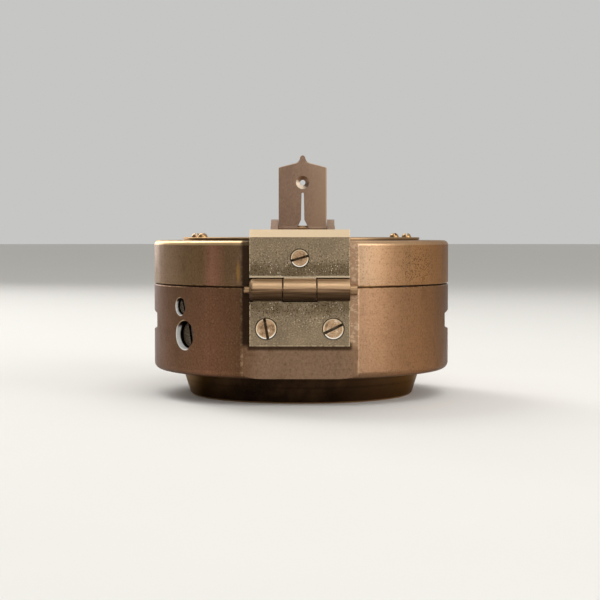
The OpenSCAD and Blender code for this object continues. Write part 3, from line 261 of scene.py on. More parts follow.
def hinge_marks(tree, mm, chips, tone):
    """Marks of the hinge on the case: painted shadow along its left and under its lower leaf, and a painted
    highlight along its right with chips of bare metal."""
    y, z = add(tree, "SeparateXYZ", {0: mm}).outputs[1:]
    beside = both(tree, z, LEAF_FOOT - 1.2, LEAF_FOOT + 0.8, 1.0)
    off_left = off_line(tree, mm, (-LEAF_HALF - 0.6, -FLAT_Y, 0), (1, 1, 0))
    off_right = off_line(tree, mm, (LEAF_HALF + 1.1, -FLAT_Y, 0), (1, 1, 0))
    # painted shadow of the leaf along its left
    tone = lay(tree, tone, "#22170f", both(tree, off_left, 2.2, 0.8, beside), 0.0, 1.0, 0.9)
    # painted highlight along its right, with chips of bare metal laid in it below
    rubbed = both(tree, off_right, 1.6, 0.6, beside)
    tone = lay(tree, tone, "#b08d70", rubbed, 0.0, 1.0, 0.8)
    chipped = add(tree, "Math", {0: rubbed, 1: chips}, operation="MULTIPLY")
    tone = lay(tree, tone, "#e0c3a4", chipped, 0.3, 1.0, 0.5)
    # painted shadow under the lower leaf
    under = both(tree, off_line(tree, mm, (0, 0, 0), (1, 0, 0)), LEAF_HALF + 1.2, LEAF_HALF, 1.0)
    under = both(tree, y, 0.9 - FLAT_Y, 0.1 - FLAT_Y, under)
    under = both(tree, z, LEAF_FOOT + 1.3, LEAF_FOOT + 0.3, under)
    under = both(tree, z, LEAF_FOOT - 1.6, LEAF_FOOT - 0.7, under)
    return lay(tree, tone, "#2c1d13", under, 0.0, 1.0, 0.8)


def turned_lacquered_brass():
    """Turned brass, lacquered and handled for a century: upright olive and rosy bands on the left of the lid,
    with painted light across the wall, darker on the left and golden on the right, brown on the body below,
    bare edges, a fine grain, pits on the lid's right, a painted highlight on the lid's upper round, painted
    shade and painted highlights in the side holes, and painted shadow beside and under the hinge with a
    painted highlight on its right."""
    material, tree, shader, mm = blank("brass_turned_lacquered", Specular_Tint="#c8cacd")
    x, _, z = add(tree, "SeparateXYZ", {0: mm}).outputs
    folded = add(tree, "VectorMath", {0: mm}, operation="ABSOLUTE")
    reach = off_line(tree, mm, (0, 0, 0), (1, 1, 0))
    off_seam = off_line(tree, mm, (0, 0, SEAM_Z), (0, 0, 1))
    bands = grain(tree, mm, (3, 3, 120), 3)
    clouds = grain(tree, mm, (4, 4, 6), 5, 0.65)
    sand = grain(tree, mm, (0.4, 0.4, 0.5), 3, 0.75)
    # turning lines, drawn about twice as coarse as real so that they show
    lines = grain(tree, mm, (14, 14, 0.16))
    # the wall's colours with painted light; inside, on the lips and on top the brass is evenly brown
    off_middle = add(tree, "SeparateXYZ", {0: folded}).outputs[1]
    flats = both(tree, off_middle, FLAT_Y - 0.6, FLAT_Y - 0.2, 1.0)
    edge = both(tree, reach, CASE_R - 0.6, CASE_R - 0.2, 1.0)
    edge = add(tree, "Math", {0: flats, 1: edge}, operation="MAXIMUM")
    wall = both(tree, reach, CASE_R - 4.5, CASE_R - 2.5, both(tree, off_seam, 0.3, 0.5, 1.0))
    wall = add(tree, "Math", {0: edge, 1: wall}, operation="MAXIMUM")
    tone = lay(tree, "#8a6c50", wall_colours(tree, x, z), wall, 0.0, 1.0)
    # bands are plain on the lid and faint on the body
    banded = add(tree, "MapRange", {"Value": z, "From Min": SEAM_Z - 0.1, "From Max": SEAM_Z + 0.1,
                                    "To Min": 0.3})
    tone = lay(tree, tone, "#6f5a3e", both(tree, bands, 0.54, 0.72, banded), 0.0, 1.0, 0.45)
    tone = lay(tree, tone, "#a27a63", both(tree, bands, 0.45, 0.30, banded), 0.0, 1.0, 0.35)
    tone = lay(tree, tone, "#5a4330", clouds, 0.54, 0.8, 0.35)
    tone = lay(tree, tone, "#4a3626", lines, 0.5, 0.3, 0.12)
    tone = lay(tree, tone, "#bb9c80", sand, 0.53, 0.75, 0.25)
    tone = lay(tree, tone, "#4a301c", sand, 0.5, 0.3, 0.5)
    # golden streak where a thumb rubs the lid beside the hinge
    thumb = on_wall(-22.6, 32.0)
    off_thumb = off_line(tree, mm, thumb, (1, 1, 0.2))
    tone = lay(tree, tone, "#b98a48", off_thumb, 0.7, 0.2, 0.6)
    pits = wall_pits(tree, mm, clouds)
    tone = lay(tree, tone, "#42291a", pits, 0.0, 1.0, 0.85)
    # painted shade and painted highlights in the side holes; under the pale painted highlight the brass is
    # made less metallic
    tone, gleam = side_holes(tree, mm, reach, tone)
    metal = add(tree, "MapRange", {"Value": gleam, "To Min": 1.0, "To Max": 0.1})
    tree.links.new(metal.outputs[0], shader.inputs["Metallic"])
    # painted highlight on the lid's upper round, brightest on the left; bare metal on the seam's lips and on
    # the flats' corners
    chips = both(tree, grain(tree, mm, (0.9, 0.9, 0.7), 3, 0.6), 0.35, 0.65, 1.0)
    outer = both(tree, reach, CASE_R - 2.0, CASE_R - 1.2, 1.0)
    lid_round_highlight = both(tree, z, LID_TOP - 1.3, LID_TOP - 0.8, outer)
    tone = lay(tree, tone, "#e6c096", lid_round_highlight, 0.0, 1.0, 0.4)
    tone = lay(tree, tone, "#ffd8a2", both(tree, x, 25.0, -20.0, lid_round_highlight), 0.0, 1.0, 0.9)
    lips = add(tree, "Math", {0: both(tree, off_seam, 0.5, 0.3, chips), 1: edge}, operation="MULTIPLY")
    tone = lay(tree, tone, "#c2a17c", lips, 0.0, 1.0, 0.7)
    corner = both(tree, off_line(tree, folded, (CORNER_X, FLAT_Y, 0), (1, 1, 0)), 0.5, 0.15, chips)
    tone = lay(tree, tone, "#c4a27e", corner, 0.0, 1.0, 0.4)
    tone = hinge_marks(tree, mm, chips, tone)
    relief = add(tree, "Math", {0: lines, 1: 0.4, 2: sand}, operation="MULTIPLY_ADD")
    relief = add(tree, "Math", {0: relief, 1: pits}, operation="SUBTRACT")
    skin(tree, shader, tone, clouds, 0.3, 0.42, relief, 0.05)
    return material


def turned_brown_brass(name, deep, mid, pale, bare_z, left, right):
    """Turned brass under old brown lacquer: ring-shaped turning lines, drawn coarser than real so that they
    show, cloudy browning, a bare edge at bare_z, and the colours given laid on the left and the right. On the
    foot the dark brown and the lighter ends are painted reflections."""
    material, tree, shader, mm = blank(name, Metallic=1.0, Specular_Tint="#dfccb8")
    x = add(tree, "SeparateXYZ", {0: mm}).outputs[0]
    clouds = grain(tree, mm, (8, 8, 8), 5, 0.6)
    sand = grain(tree, mm, (0.4, 0.4, 0.4), 3, 0.6)
    reach = off_line(tree, mm, (0, 0, 0), (1, 1, 0))
    rings = add(tree, "TexNoise", {"W": reach, "Scale": 3.0, "Detail": 3.0}, noise_dimensions="1D")
    tone = add(tree, "ValToRGB", {"Fac": clouds}, [(0.35, deep), (0.5, mid), (0.68, pale)])
    # the colours given on the left and the right; on the foot they are painted reflections
    tone = lay(tree, tone, left, x, -0.78 * FOOT_R, -0.92 * FOOT_R, 0.8)
    tone = lay(tree, tone, right, x, 0.1 * FOOT_R, FOOT_R, 0.7)
    tone = lay(tree, tone, pale, sand, 0.5, 0.75, 0.5)
    tone = lay(tree, tone, deep, rings, 0.55, 0.75, 0.35)
    tone = lay(tree, tone, "#c2a07a", off_line(tree, mm, (0, 0, bare_z), (0, 0, 1)), 0.5, 0.2, 0.6)
    relief = add(tree, "Math", {0: rings, 1: 0.6, 2: sand}, operation="MULTIPLY_ADD")
    skin(tree, shader, tone, clouds, 0.3, 0.42, relief, 0.04)
    return material


def cast_filed_brass():
    """Cast brass, filed flat: olive brown, mottled, peppered with fine casting pits and salted with file
    sparks that crowd beside the barrel, darker in bands beside the barrel, the lower one painted shadow under
    it, pale worn rims, a painted highlight on the upper leaf's top bevel, and a barrel rubbed to brown
    copper, with a painted highlight above and painted shade below."""
    material, tree, shader, mm = blank("brass_cast_filed", Metallic=1.0)
    z = add(tree, "SeparateXYZ", {0: mm}).outputs[2]
    clouds = grain(tree, mm, (5, 5, 5), 5, 0.65)
    sand = grain(tree, mm, (0.38, 0.38, 0.38), 4, 0.8)
    # the same cells moved aside, so that the sparks don't fall on the pits
    shifted = add(tree, "VectorMath", {0: mm, 1: (31.0, 17.0, 5.0)}, operation="ADD")
    tone = add(tree, "ValToRGB", {"Fac": clouds}, [(0.32, "#857560"), (0.5, "#8f7d66"), (0.66, "#99866d")])
    tone = lay(tree, tone, "#d2bd95", sand, 0.52, 0.68, 0.55)
    tone = lay(tree, tone, "#4a3d29", sand, 0.48, 0.32, 0.5)
    # pepper, salt and darker bands, thickest on both leaves beside the barrel; the band on the lower leaf is
    # painted shadow under the barrel
    low = off_line(tree, mm, (0, 0, AXIS_Z - 4.0), (0, 0, 1))
    high = off_line(tree, mm, (0, 0, AXIS_Z + 4.4), (0, 0, 1))
    near = add(tree, "Math", {0: low, 1: high}, operation="MINIMUM")
    # darker bands beside the barrel: painted shadow on the lower leaf
    brown = both(tree, clouds, 0.3, 0.55, both(tree, near, 3.2, 0.4, 1.0))
    tone = lay(tree, tone, "#55472f", brown, 0.0, 1.0, 0.6)
    pores = both(tree, near, 11.0, 1.0, both(tree, sand, 0.5, 0.33, 1.0))
    tone = lay(tree, tone, "#32281a", pores, 0.0, 1.0, 0.9)
    pepper = both(tree, near, 5.5, 0.5, specks(tree, mm, 0.5, 0.42))
    pepper = both(tree, grain(tree, mm, (1.6, 1.6, 1.6), 3), 0.34, 0.54, pepper)
    salt = both(tree, grain(tree, shifted, (1.3, 1.3, 1.3), 3), 0.44, 0.58, specks(tree, shifted, 0.5, 0.3))
    tone = lay(tree, tone, "#30261a", pepper, 0.0, 1.0, 0.8)
    tone = lay(tree, tone, "#f0e2c6", both(tree, near, 9.0, 0.5, salt), 0.0, 1.0, 0.8)
    # grime round the screws, worn rims of both leaves
    folded = add(tree, "VectorMath", {0: mm}, operation="ABSOLUTE")
    for centre, radius in ((UPPER_SPOT, UPPER_R), (LOWER_SPOT, LOWER_R)):
        round_screw = off_line(tree, folded, centre, (1, 0, 1))
        tone = lay(tree, tone, "#2a2015", round_screw, radius + 0.35, radius + 0.15, 0.85)
    chips = both(tree, grain(tree, mm, (0.8, 0.8, 0.8), 3, 0.6), 0.36, 0.56, 1.0)
    sides = both(tree, off_line(tree, mm, (0, 0, 0), (1, 0, 0)), LEAF_HALF - 0.3, LEAF_HALF - 0.1, chips)
    tone = lay(tree, tone, "#dcc6a2", sides, 0.0, 1.0, 0.65)
    tone = lay(tree, tone, "#dcc6a2", both(tree, z, LEAF_FOOT + 0.4, LEAF_FOOT + 0.1, chips), 0.0, 1.0, 0.5)
    # painted highlight on the upper leaf's top bevel
    tone = lay(tree, tone, "#d6be9b", z, LEAF_HEAD - LEAF_BEVEL - 0.2, LEAF_HEAD - LEAF_BEVEL, 0.7)
    upper_foot = off_line(tree, mm, (0, -FLAT_Y - LEAF_THICK, AXIS_Z + BARREL_R + 0.25), (0, 1, 1))
    tone = lay(tree, tone, "#ecd8b8", upper_foot, 0.6, 0.15, 0.8)
    # the barrel, drawn out along its length
    length = grain(tree, mm, (14, 0.3, 0.3), 3, 0.65)
    copper = add(tree, "ValToRGB", {"Fac": length}, [(0.36, "#5c4631"), (0.5, "#86694f"), (0.64, "#b08f6e")])
    # painted highlight on the barrel's upper side and painted shade on its lower side
    copper = lay(tree, copper, "#dcb88f", z, AXIS_Z + 0.3, AXIS_Z + 0.9, 0.5)
    copper = lay(tree, copper, "#3a2a1c", z, AXIS_Z + 0.6, AXIS_Z - 1.0, 0.8)
    off_axis = off_line(tree, mm, (0, AXIS_Y, AXIS_Z), (0, 1, 1))
    tone = lay(tree, tone, copper, off_axis, BARREL_R + 0.15, BARREL_R + 0.05)
    relief = add(tree, "Math", {0: length, 1: 0.6, 2: sand}, operation="MULTIPLY_ADD")
    relief = add(tree, "Math", {0: relief, 1: pepper}, operation="SUBTRACT")
    skin(tree, shader, tone, sand, 0.32, 0.5, relief, 0.06)
    return material


def sanded_brass(name, deep, mid, pale, lines, wear_and_light=None):
    """Brass rubbed with grit: matt taupe, faint marks of the size given, drawn coarser than real so that they
    show, a few dark pits, and worn metal and painted light laid over by the function given."""
    material, tree, shader, mm = blank(name, Metallic=1.0)
    clouds = grain(tree, mm, (4, 4, 6), 4)
    rubbed = grain(tree, mm, lines, 3, 0.7)
    tone = add(tree, "ValToRGB", {"Fac": rubbed}, [(0.28, deep), (0.5, mid), (0.72, pale)])
    tone = lay(tree, tone, deep, clouds, 0.5, 0.75, 0.5)
    pits = both(tree, clouds, 0.42, 0.55, specks(tree, mm, 1.5, 0.14))
    tone = lay(tree, tone, "#3a2d22", pits, 0.0, 1.0, 0.8)
    if wear_and_light:
        tone = wear_and_light(tree, mm, tone)
    relief = add(tree, "Math", {0: rubbed, 1: pits}, operation="SUBTRACT")
    skin(tree, shader, tone, rubbed, 0.42, 0.54, relief, 0.04)
    return material


def sight_wear(tree, mm, tone):
    """Worn metal and painted light on the sight: browner on the left and paler on the right, bare metal with
    a painted highlight along both shoulders and the right edge, and a painted highlight low on the left of
    the peep hole's countersink."""
    x, y, z = add(tree, "SeparateXYZ", {0: mm}).outputs
    tone = lay(tree, tone, "#7d6655", x, 0.2 * SIGHT_HALF, -SIGHT_HALF, 0.25)
    tone = lay(tree, tone, "#ae937a", x, -0.2 * SIGHT_HALF, SIGHT_HALF, 0.6)
    # painted highlight on bare metal along the right edge
    tone = lay(tree, tone, "#dcc6ac", x, SIGHT_HALF - 0.45, SIGHT_HALF - 0.15, 0.5)
    off_middle = off_line(tree, mm, (0, 0, 0), (1, 0, 0))
    height = add(tree, "Math", {0: off_middle, 1: SHOULDER_SLOPE, 2: z}, operation="MULTIPLY_ADD")
    top = SHOULDER_Z + SHOULDER_SLOPE * SIGHT_HALF
    shoulders = both(tree, height, top - 0.35, top - 0.1, both(tree, off_middle, 0.3, POINT_HALF, 1.0))
    # painted highlight on bare metal along both shoulders
    tone = lay(tree, tone, "#e6d2bc", shoulders, 0.0, 1.0, 0.7)
    low_left = along(tree, mm, (0, 0, PEEP_Z), (-0.6, 0, -0.8))
    sink_end = SIGHT_FRONT + PEEP_SINK_DEPTH
    sink = both(tree, y, sink_end + 0.1, sink_end - 0.1, 1.0)
    off_peep = off_line(tree, mm, (0, 0, PEEP_Z), (1, 0, 1))
    sink = both(tree, off_peep, PEEP_SINK_R + 0.1, PEEP_SINK_R - 0.1, sink)
    # painted highlight low on the left of the peep hole's countersink
    tone = lay(tree, tone, "#e9d8c2", both(tree, low_left, 0.0, 0.8, sink), 0.0, 1.0, 0.8)
    return tone


def bare_screw_brass(name, radius, first, second):
    """Turned screw brass, bare: coppery tan, stained in patches and lighter in others as painted highlights,
    with a bright turned rim, a painted highlight on its lower side and painted shade on its upper side,
    turning rings, drawn coarser than real so that they show, and painted shade in the slot.
    First and second are the middles of heads, mirrored at X = 0."""
    material, tree, shader, mm = blank(name, Metallic=1.0)
    folded = add(tree, "VectorMath", {0: mm}, operation="ABSOLUTE")
    reach = add(tree, "Math", {0: off_line(tree, folded, first, (1, 0, 1)),
                               1: off_line(tree, folded, second, (1, 0, 1))}, operation="MINIMUM")
    rings = add(tree, "TexNoise", {"W": reach, "Scale": 5.0, "Detail": 3.0}, noise_dimensions="1D")
    sand = grain(tree, mm, (0.3, 0.3, 0.3), 3, 0.65)
    tone = add(tree, "ValToRGB", {"Fac": rings}, [(0.3, "#a48463"), (0.5, "#bc9976"), (0.7, "#d5b38c")])
    tone = lay(tree, tone, "#5d4632", sand, 0.46, 0.25, 0.6)
    tone = lay(tree, tone, "#f0d8b6", sand, 0.56, 0.78, 0.5)
    stains = grain(tree, mm, (1.5, 1.5, 1.5), 3, 0.6)
    tone = lay(tree, tone, "#5f4934", stains, 0.5, 0.34, 0.6)
    # lighter patches: painted highlights
    tone = lay(tree, tone, "#fbead0", stains, 0.53, 0.68, 0.7)
    rim = both(tree, reach, 0.84 * radius, 0.92 * radius, 1.0)
    tone = lay(tree, tone, "#ecd3ae", rim, 0.0, 1.0)
    below = along(tree, mm, first, (0, 0, -1))
    # painted highlight on the rim's lower side
    tone = lay(tree, tone, "#fff6e8", both(tree, below, 0.1 * radius, 0.7 * radius, rim), 0.0, 1.0)
    # painted shade on the rim's upper side
    tone = lay(tree, tone, "#6d5238", both(tree, below, 0.0, -0.9 * radius, rim), 0.0, 1.0, 0.3)
    sunk = off_line(tree, folded, (0, SCREW_FACE, 0), (0, 1, 0))
    # painted shade in the slot
    tone = lay(tree, tone, "#241a11", sunk, 0.06, 0.16, 0.9)
    skin(tree, shader, tone, rings, 0.3, 0.42, rings, 0.03)
    return material


def brushed_metal(name, deep, mid, pale, lines, low, high):
    """Bare metal brushed or turned in one direction: lines of the size given, drawn coarser than real so that
    they show, from deep to pale, and roughness from low to high."""
    material, tree, shader, mm = blank(name, Metallic=1.0)
    brushed = grain(tree, mm, lines, 3, 0.6)
    tone = add(tree, "ValToRGB", {"Fac": brushed}, [(0.3, deep), (0.5, mid), (0.7, pale)])
    skin(tree, shader, tone, brushed, low, high, brushed, 0.02)
    return material


def blued_needle_steel():
    """Tempered needle steel, polished along: the half towards the hinge heat-blued, the other left bright."""
    material, tree, shader, mm = blank("steel_tempered_needle", Metallic=1.0)
    y = add(tree, "SeparateXYZ", {0: mm}).outputs[1]
    polish = grain(tree, mm, (0.2, 6, 0.2), 3)
    blue = lay(tree, "#1c2749", "#3c4f86", polish, 0.3, 0.7)
    bright = lay(tree, "#9b9c9e", "#cfd0d1", polish, 0.3, 0.7)
    skin(tree, shader, lay(tree, blue, bright, y, -2.2, -1.8), polish, 0.2, 0.34)
    return material


def polished_glass(name, colour, alpha):
    """Polished glass seen against what is behind it: clear, with a faint tint and a few wiping marks."""
    material, tree, shader, mm = blank(name, Alpha=alpha, IOR=1.5)
    wiped = grain(tree, mm, (9, 2, 2), 4)
    skin(tree, shader, lay(tree, colour, "#f2f6f4", wiped, 0.3, 0.9), wiped, 0.02, 0.08)
    return material


def silvered_mirror():
    """Plate glass silvered at the back: a clear reflection with slight clouding towards the rim."""
    material, tree, shader, mm = blank("glass_silvered_mirror", Metallic=1.0)
    clear_radius, fogged_radius = 17.0, 25.0
    reach = off_line(tree, mm, (0, 0, 0), (1, 1, 0))
    fog = both(tree, reach, clear_radius, fogged_radius, grain(tree, mm, (3, 3, 3), 4))
    skin(tree, shader, lay(tree, "#c3c8c7", "#8a887e", fog, 0.0, 1.0), fog, 0.02, 0.2)
    return material


def engraving_wax():
    """Black wax rubbed into engraved lines: matt, a little broken and grey where it has worn."""
    material, tree, shader, mm = blank("wax_black_engraving")
    worn = grain(tree, mm, (0.6, 0.6, 0.6), 3)
    skin(tree, shader, lay(tree, "#14120f", "#4a453d", worn, 0.55, 0.8), worn, 0.55, 0.65)
    return material


def put(piece, body, material):
    """Gives a finished piece its material and the body it moves with."""
    piece.data.materials.append(material)
    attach(piece, body)


def mesh_piece(name, points, faces):
    """A mesh object at the origin from an array of points in millimetres and an array of faces."""
    mesh = bpy.data.meshes.new(name)
    mesh.from_pydata((np.asarray(points, float) * MM).tolist(), [], [list(face) for face in faces])
    mesh.update()
    piece = bpy.data.objects.new(name, mesh)
    bpy.context.scene.collection.objects.link(piece)
    return piece


def bars(angles, inner, outer, width, z, depth):
    """Slim closed bars that stand radially. Each corner is inner or outer along the bar's bearing and half
    the width across it, at z and at z + depth. Angles are in degrees from +Y towards +X; inner, outer and
    width may differ from bar to bar."""
    a = np.radians(np.asarray(angles, float))
    out = np.stack([np.sin(a), np.cos(a)], 1)
    across = np.stack([np.cos(a), -np.sin(a)], 1)
    inner, outer, width = (np.broadcast_to(size, a.shape) for size in (inner, outer, width))
    r = np.stack([inner, outer, outer, inner], 1)
    w = np.outer(width, [-0.5, -0.5, 0.5, 0.5])
    ring = r[:, :, None] * out[:, None, :] + w[:, :, None] * across[:, None, :]
    low, high = np.full(r.shape + (1,), z), np.full(r.shape + (1,), z + depth)
    both_ends = [np.concatenate([ring, low], 2), np.concatenate([ring, high], 2)]
    points = np.concatenate(both_ends, 1).reshape(-1, 3)
    one = np.array([[0, 1, 2, 3], [7, 6, 5, 4], [0, 4, 5, 1], [1, 5, 6, 2], [2, 6, 7, 3], [3, 7, 4, 0]])
    faces = (one[None] + 8 * np.arange(len(a))[:, None, None]).reshape(-1, 4)
    return points, faces


# size of a font whose digits stand one unit high
FONT_PER_DIGIT = 1.4


def figures(labels, angles, radius, height, z, depth):
    """Plain numbers round a dial: each label's outline is raised by depth, centred on (0, 0), turned so that
    its head points outwards and moved out by radius along its bearing in degrees from +Y towards +X."""
    sets, faces, start = [], [], 0
    for label, angle in zip(labels, np.radians(angles)):
        curve = bpy.data.curves.new("figure", "FONT")
        curve.body = label
        curve.size = height * FONT_PER_DIGIT * MM
        curve.extrude = depth / 2 * MM
        curve.resolution_u = 2
        curve.align_x = "CENTER"
        curve.align_y = "CENTER"
        holder = bpy.data.objects.new("figure", curve)
        mesh = bpy.data.meshes.new_from_object(holder)
        places = np.zeros(len(mesh.vertices) * 3)
        mesh.vertices.foreach_get("co", places)
        mesh.calc_loop_triangles()
        corners = np.zeros(len(mesh.loop_triangles) * 3, int)
        mesh.loop_triangles.foreach_get("vertices", corners)
        x, y, up = places.reshape(-1, 3).T / MM
        s, c = math.sin(angle), math.cos(angle)
        sets.append(np.stack([x * c + (radius + y) * s, -x * s + (radius + y) * c, up + z + depth / 2], 1))
        faces.append(corners.reshape(-1, 3) + start)
        start += len(places) // 3
        bpy.data.objects.remove(holder)
        bpy.data.meshes.remove(mesh)
        bpy.data.curves.remove(curve)
    return np.concatenate(sets), np.concatenate(faces)


def bubble(centre, radii, rows=14, columns=28):
    """Closed egg of air: point = centre + radii * (sin v cos u, sin v sin u, cos v), one point at each
    pole."""
    v = np.linspace(0, math.pi, rows + 2)[1:-1]
    u = np.arange(columns) * 2 * math.pi / columns
    grid = np.stack([np.outer(np.sin(v), np.cos(u)), np.outer(np.sin(v), np.sin(u)),
                     np.outer(np.cos(v), np.ones(columns))], 2)
    points = np.concatenate([grid.reshape(-1, 3), [[0, 0, 1]], [[0, 0, -1]]]) * radii + centre
    i, j = np.meshgrid(np.arange(rows - 1), np.arange(columns), indexing="ij")
    k = (j + 1) % columns
    row, after = i * columns, (i + 1) * columns
    quads = np.stack([row + j, after + j, after + k, row + k], 2).reshape(-1, 4)
    c = np.arange(columns)
    d = (c + 1) % columns
    top, end = rows * columns, (rows - 1) * columns
    upper = np.stack([np.full(columns, top), c, d], 1)
    lower = np.stack([np.full(columns, top + 1), end + d, end + c], 1)
    return points, quads.tolist() + upper.tolist() + lower.tolist()


def hoop(centre, radius, width, depth, count=48):
    """Closed flat band round a line along X: four corners, radius and radius + width out, 0 and depth along,
    are carried round the circle u, each to centre + (along, out cos u, out sin u)."""
    u = np.arange(count) * 2 * math.pi / count
    out = np.array([radius, radius + width, radius + width, radius])
    length = np.tile([0.0, 0.0, depth, depth], (count, 1))
    ring = np.stack([length, np.outer(np.cos(u), out), np.outer(np.sin(u), out)], 2)
    points = ring.reshape(-1, 3) + centre
    i, j = np.meshgrid(np.arange(count), np.arange(4), indexing="ij")
    n, m = (i + 1) % count, (j + 1) % 4
    faces = np.stack([i * 4 + j, n * 4 + j, n * 4 + m, i * 4 + m], 2).reshape(-1, 4)
    return points, faces


def joined(*parts):
    """Several (points, faces) pairs as one."""
    points, faces, start = [], [], 0
    for part_points, part_faces in parts:
        points.append(np.asarray(part_points, float))
        faces += (np.asarray(part_faces) + start).tolist()
        start += len(part_points)
    return np.concatenate(points), faces


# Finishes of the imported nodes
case_brass = turned_lacquered_brass()
# The foot's dark brown stands in for a dark reflection, a painted reflection, and its lighter left and right
# ends are painted reflections too.
foot_brass = turned_brown_brass("brass_turned_foot_painted_reflection", "#241911", "#302218", "#453221", 0.0,
                                "#7a6652", "#6e4f32")
plate_brass = turned_brown_brass("brass_turned_browned_plate", "#6b543c", "#80674c", "#97795b", PLATE_TOP,
                                 "#8a6f53", "#8a6f53")
leaf_brass = cast_filed_brass()
sight_brass = sanded_brass("brass_sheet_sanded", "#87705e", "#957b68", "#a38974", (0.5, 0.5, 0.7),
                           sight_wear)
ear_brass = sanded_brass("brass_cast_ears", "#87705f", "#947c6b", "#a18977", (0.6, 0.6, 0.5))
upper_screw_brass = bare_screw_brass("brass_screw_upper", UPPER_R, UPPER_SPOT, UPPER_SPOT)
lower_screw_brass = bare_screw_brass("brass_screw_lower", LOWER_R, LOWER_SPOT, LOWER_SPOT)
back_screw_brass = bare_screw_brass("brass_screw_back", LOWER_R, BACK_PAIR, BACK_TOP)
drawn_brass = brushed_metal("brass_drawn_bare", "#7c5f44", "#9c7d5e", "#b99872", (14, 0.3, 0.3), 0.3, 0.42)
sheet_brass = brushed_metal("brass_sheet_filed", "#967857", "#9e805d", "#a68863", (0.2, 2.5, 0.5), 0.3, 0.4)
turned_brass = brushed_metal("brass_turned_bare", "#a07d55", "#b08c5f", "#bf9c6d", (3, 3, 0.2), 0.26, 0.38)
grimed_brass = brushed_metal("brass_turned_grimed", "#3d332a", "#62564a", "#8d7f6c", (0.5, 0.5, 0.2),
                             0.3, 0.45)
tube_brass = brushed_metal("brass_tube_turned", "#a8855b", "#b08c5f", "#b89566", (0.25, 5, 5), 0.26, 0.36)
silvered_brass = brushed_metal("brass_silvered_brushed", "#b9b6aa", "#cfccc1", "#e2dfd5", (0.18, 10, 4),
                               0.34, 0.46)
steel = brushed_metal("steel_brushed", "#6f7277", "#8a8d92", "#a6a9ad", (6, 0.25, 0.25), 0.28, 0.4)
needle_steel = blued_needle_steel()
crystal_glass = polished_glass("glass_crystal", "#8fa39c", 0.1)
spirit_glass = polished_glass("glass_spirit_vial", "#cfe07c", 0.6)
mirror_glass = silvered_mirror()
wax = engraving_wax()

FINISH = {
    "case_body": case_brass, "lid_shell": case_brass,
    "foot_ring": foot_brass, "lid_top_plate": plate_brass,
    "lower_hinge_leaf": leaf_brass, "upper_hinge_leaf": leaf_brass,
    "sight_bracket": ear_brass, "sight_vane": sight_brass,
    "lower_leaf_screws": lower_screw_brass, "upper_leaf_screw": upper_screw_brass,
    "bracket_screws": back_screw_brass,
    "hinge_pin": drawn_brass, "sight_pin": drawn_brass,
    "lifter_bracket": sheet_brass, "mirror_clips": sheet_brass,
    "level_tube": tube_brass, "level_caps": tube_brass,
    "declination_screw": grimed_brass, "clamp_screw": grimed_brass,
    "dial_plate": silvered_brass, "azimuth_ring": silvered_brass, "vernier_arm": silvered_brass,
    "needle_lifter": steel, "lift_pin": steel, "fulcrum_pin": steel, "needle_pivot": steel,
    "friction_washer": steel, "lever_screw": steel, "compass_needle": needle_steel,
    "crystal": crystal_glass, "level_vial": spirit_glass, "round_level_glass": spirit_glass,
    "mirror": mirror_glass,
}
# every other node is bare turned brass
for name, node in nodes.items():
    node.data.materials.clear()
    node.data.materials.append(FINISH.get(name, turned_brass))

# Scales, filled with wax and drawn twice as wide as real graver's lines, so that they show in the render.
# A transit's ring counts the other way round, so that the needle reads the bearing.
RING_TOP = span("azimuth_ring")[1][2]
DIAL_TOP = span("dial_plate")[1][2]
ARM_TOP = span("vernier_arm")[1][2]
MIRROR_FACE = span("mirror")[0][2]
FILL = 0.03
# radius at which the lines start and of the figures' middles, and height of the figures
RING_LINES, RING_FIGURES, RING_DIGIT = 25.75, 29.6, 1.75
DIAL_LINES, DIAL_FIGURES, DIAL_DIGIT = 24.55, 27.2, 1.35

degrees = np.arange(360)
long_bar = np.where(degrees % 10 == 0, 2.3, np.where(degrees % 5 == 0, 1.7, 1.1))
tens = np.arange(0, 360, 10)
ring_bars = bars(-degrees, RING_LINES, RING_LINES + long_bar, 0.05 + 0.08 * long_bar, RING_TOP, FILL)
ring_labels = [str(t) for t in tens]
ring_figures = figures(ring_labels, 180 - tens, RING_FIGURES, RING_DIGIT, RING_TOP, FILL)
ring_scale = joined(ring_bars, ring_figures)
put(mesh_piece("ring_scale", *ring_scale), "degree_ring", wax)

slope = np.arange(-90, 91)
slope_bar = np.where(slope % 10 == 0, 1.5, np.where(slope % 5 == 0, 1.1, 0.75))
slope_tens = np.arange(-90, 91, 10)
dial_bars = bars(slope, DIAL_LINES, DIAL_LINES + slope_bar, 0.05 + 0.1 * slope_bar, DIAL_TOP, FILL)
dial_labels = [str(abs(t)) for t in slope_tens]
dial_figures = figures(dial_labels, slope_tens, DIAL_FIGURES, DIAL_DIGIT, DIAL_TOP, FILL)
dial_scale = joined(dial_bars, dial_figures)
put(mesh_piece("slope_scale", *dial_scale), "case", wax)

# Vernier: its lines lie 1.9 degrees apart, against 2 on the slope scale
VERNIER_LINES, VERNIER_ENDS, VERNIER_WIDTH = 23.0, 24.2, 0.17
vernier_angles = np.arange(-12, 13, 2) * 0.95
vernier = bars(vernier_angles, VERNIER_LINES, VERNIER_ENDS, VERNIER_WIDTH, ARM_TOP, FILL)
put(mesh_piece("vernier_scale", *vernier), "clinometer", wax)

# Sighting line across the mirror's face, which looks down while the lid is shut
SIGHT_LINE_REACH, SIGHT_LINE_WIDTH = 23.6, 0.35
line = bars([0, 180], 0.0, SIGHT_LINE_REACH, SIGHT_LINE_WIDTH, MIRROR_FACE - FILL, FILL)
put(mesh_piece("mirror_line", *line), "lid", wax)

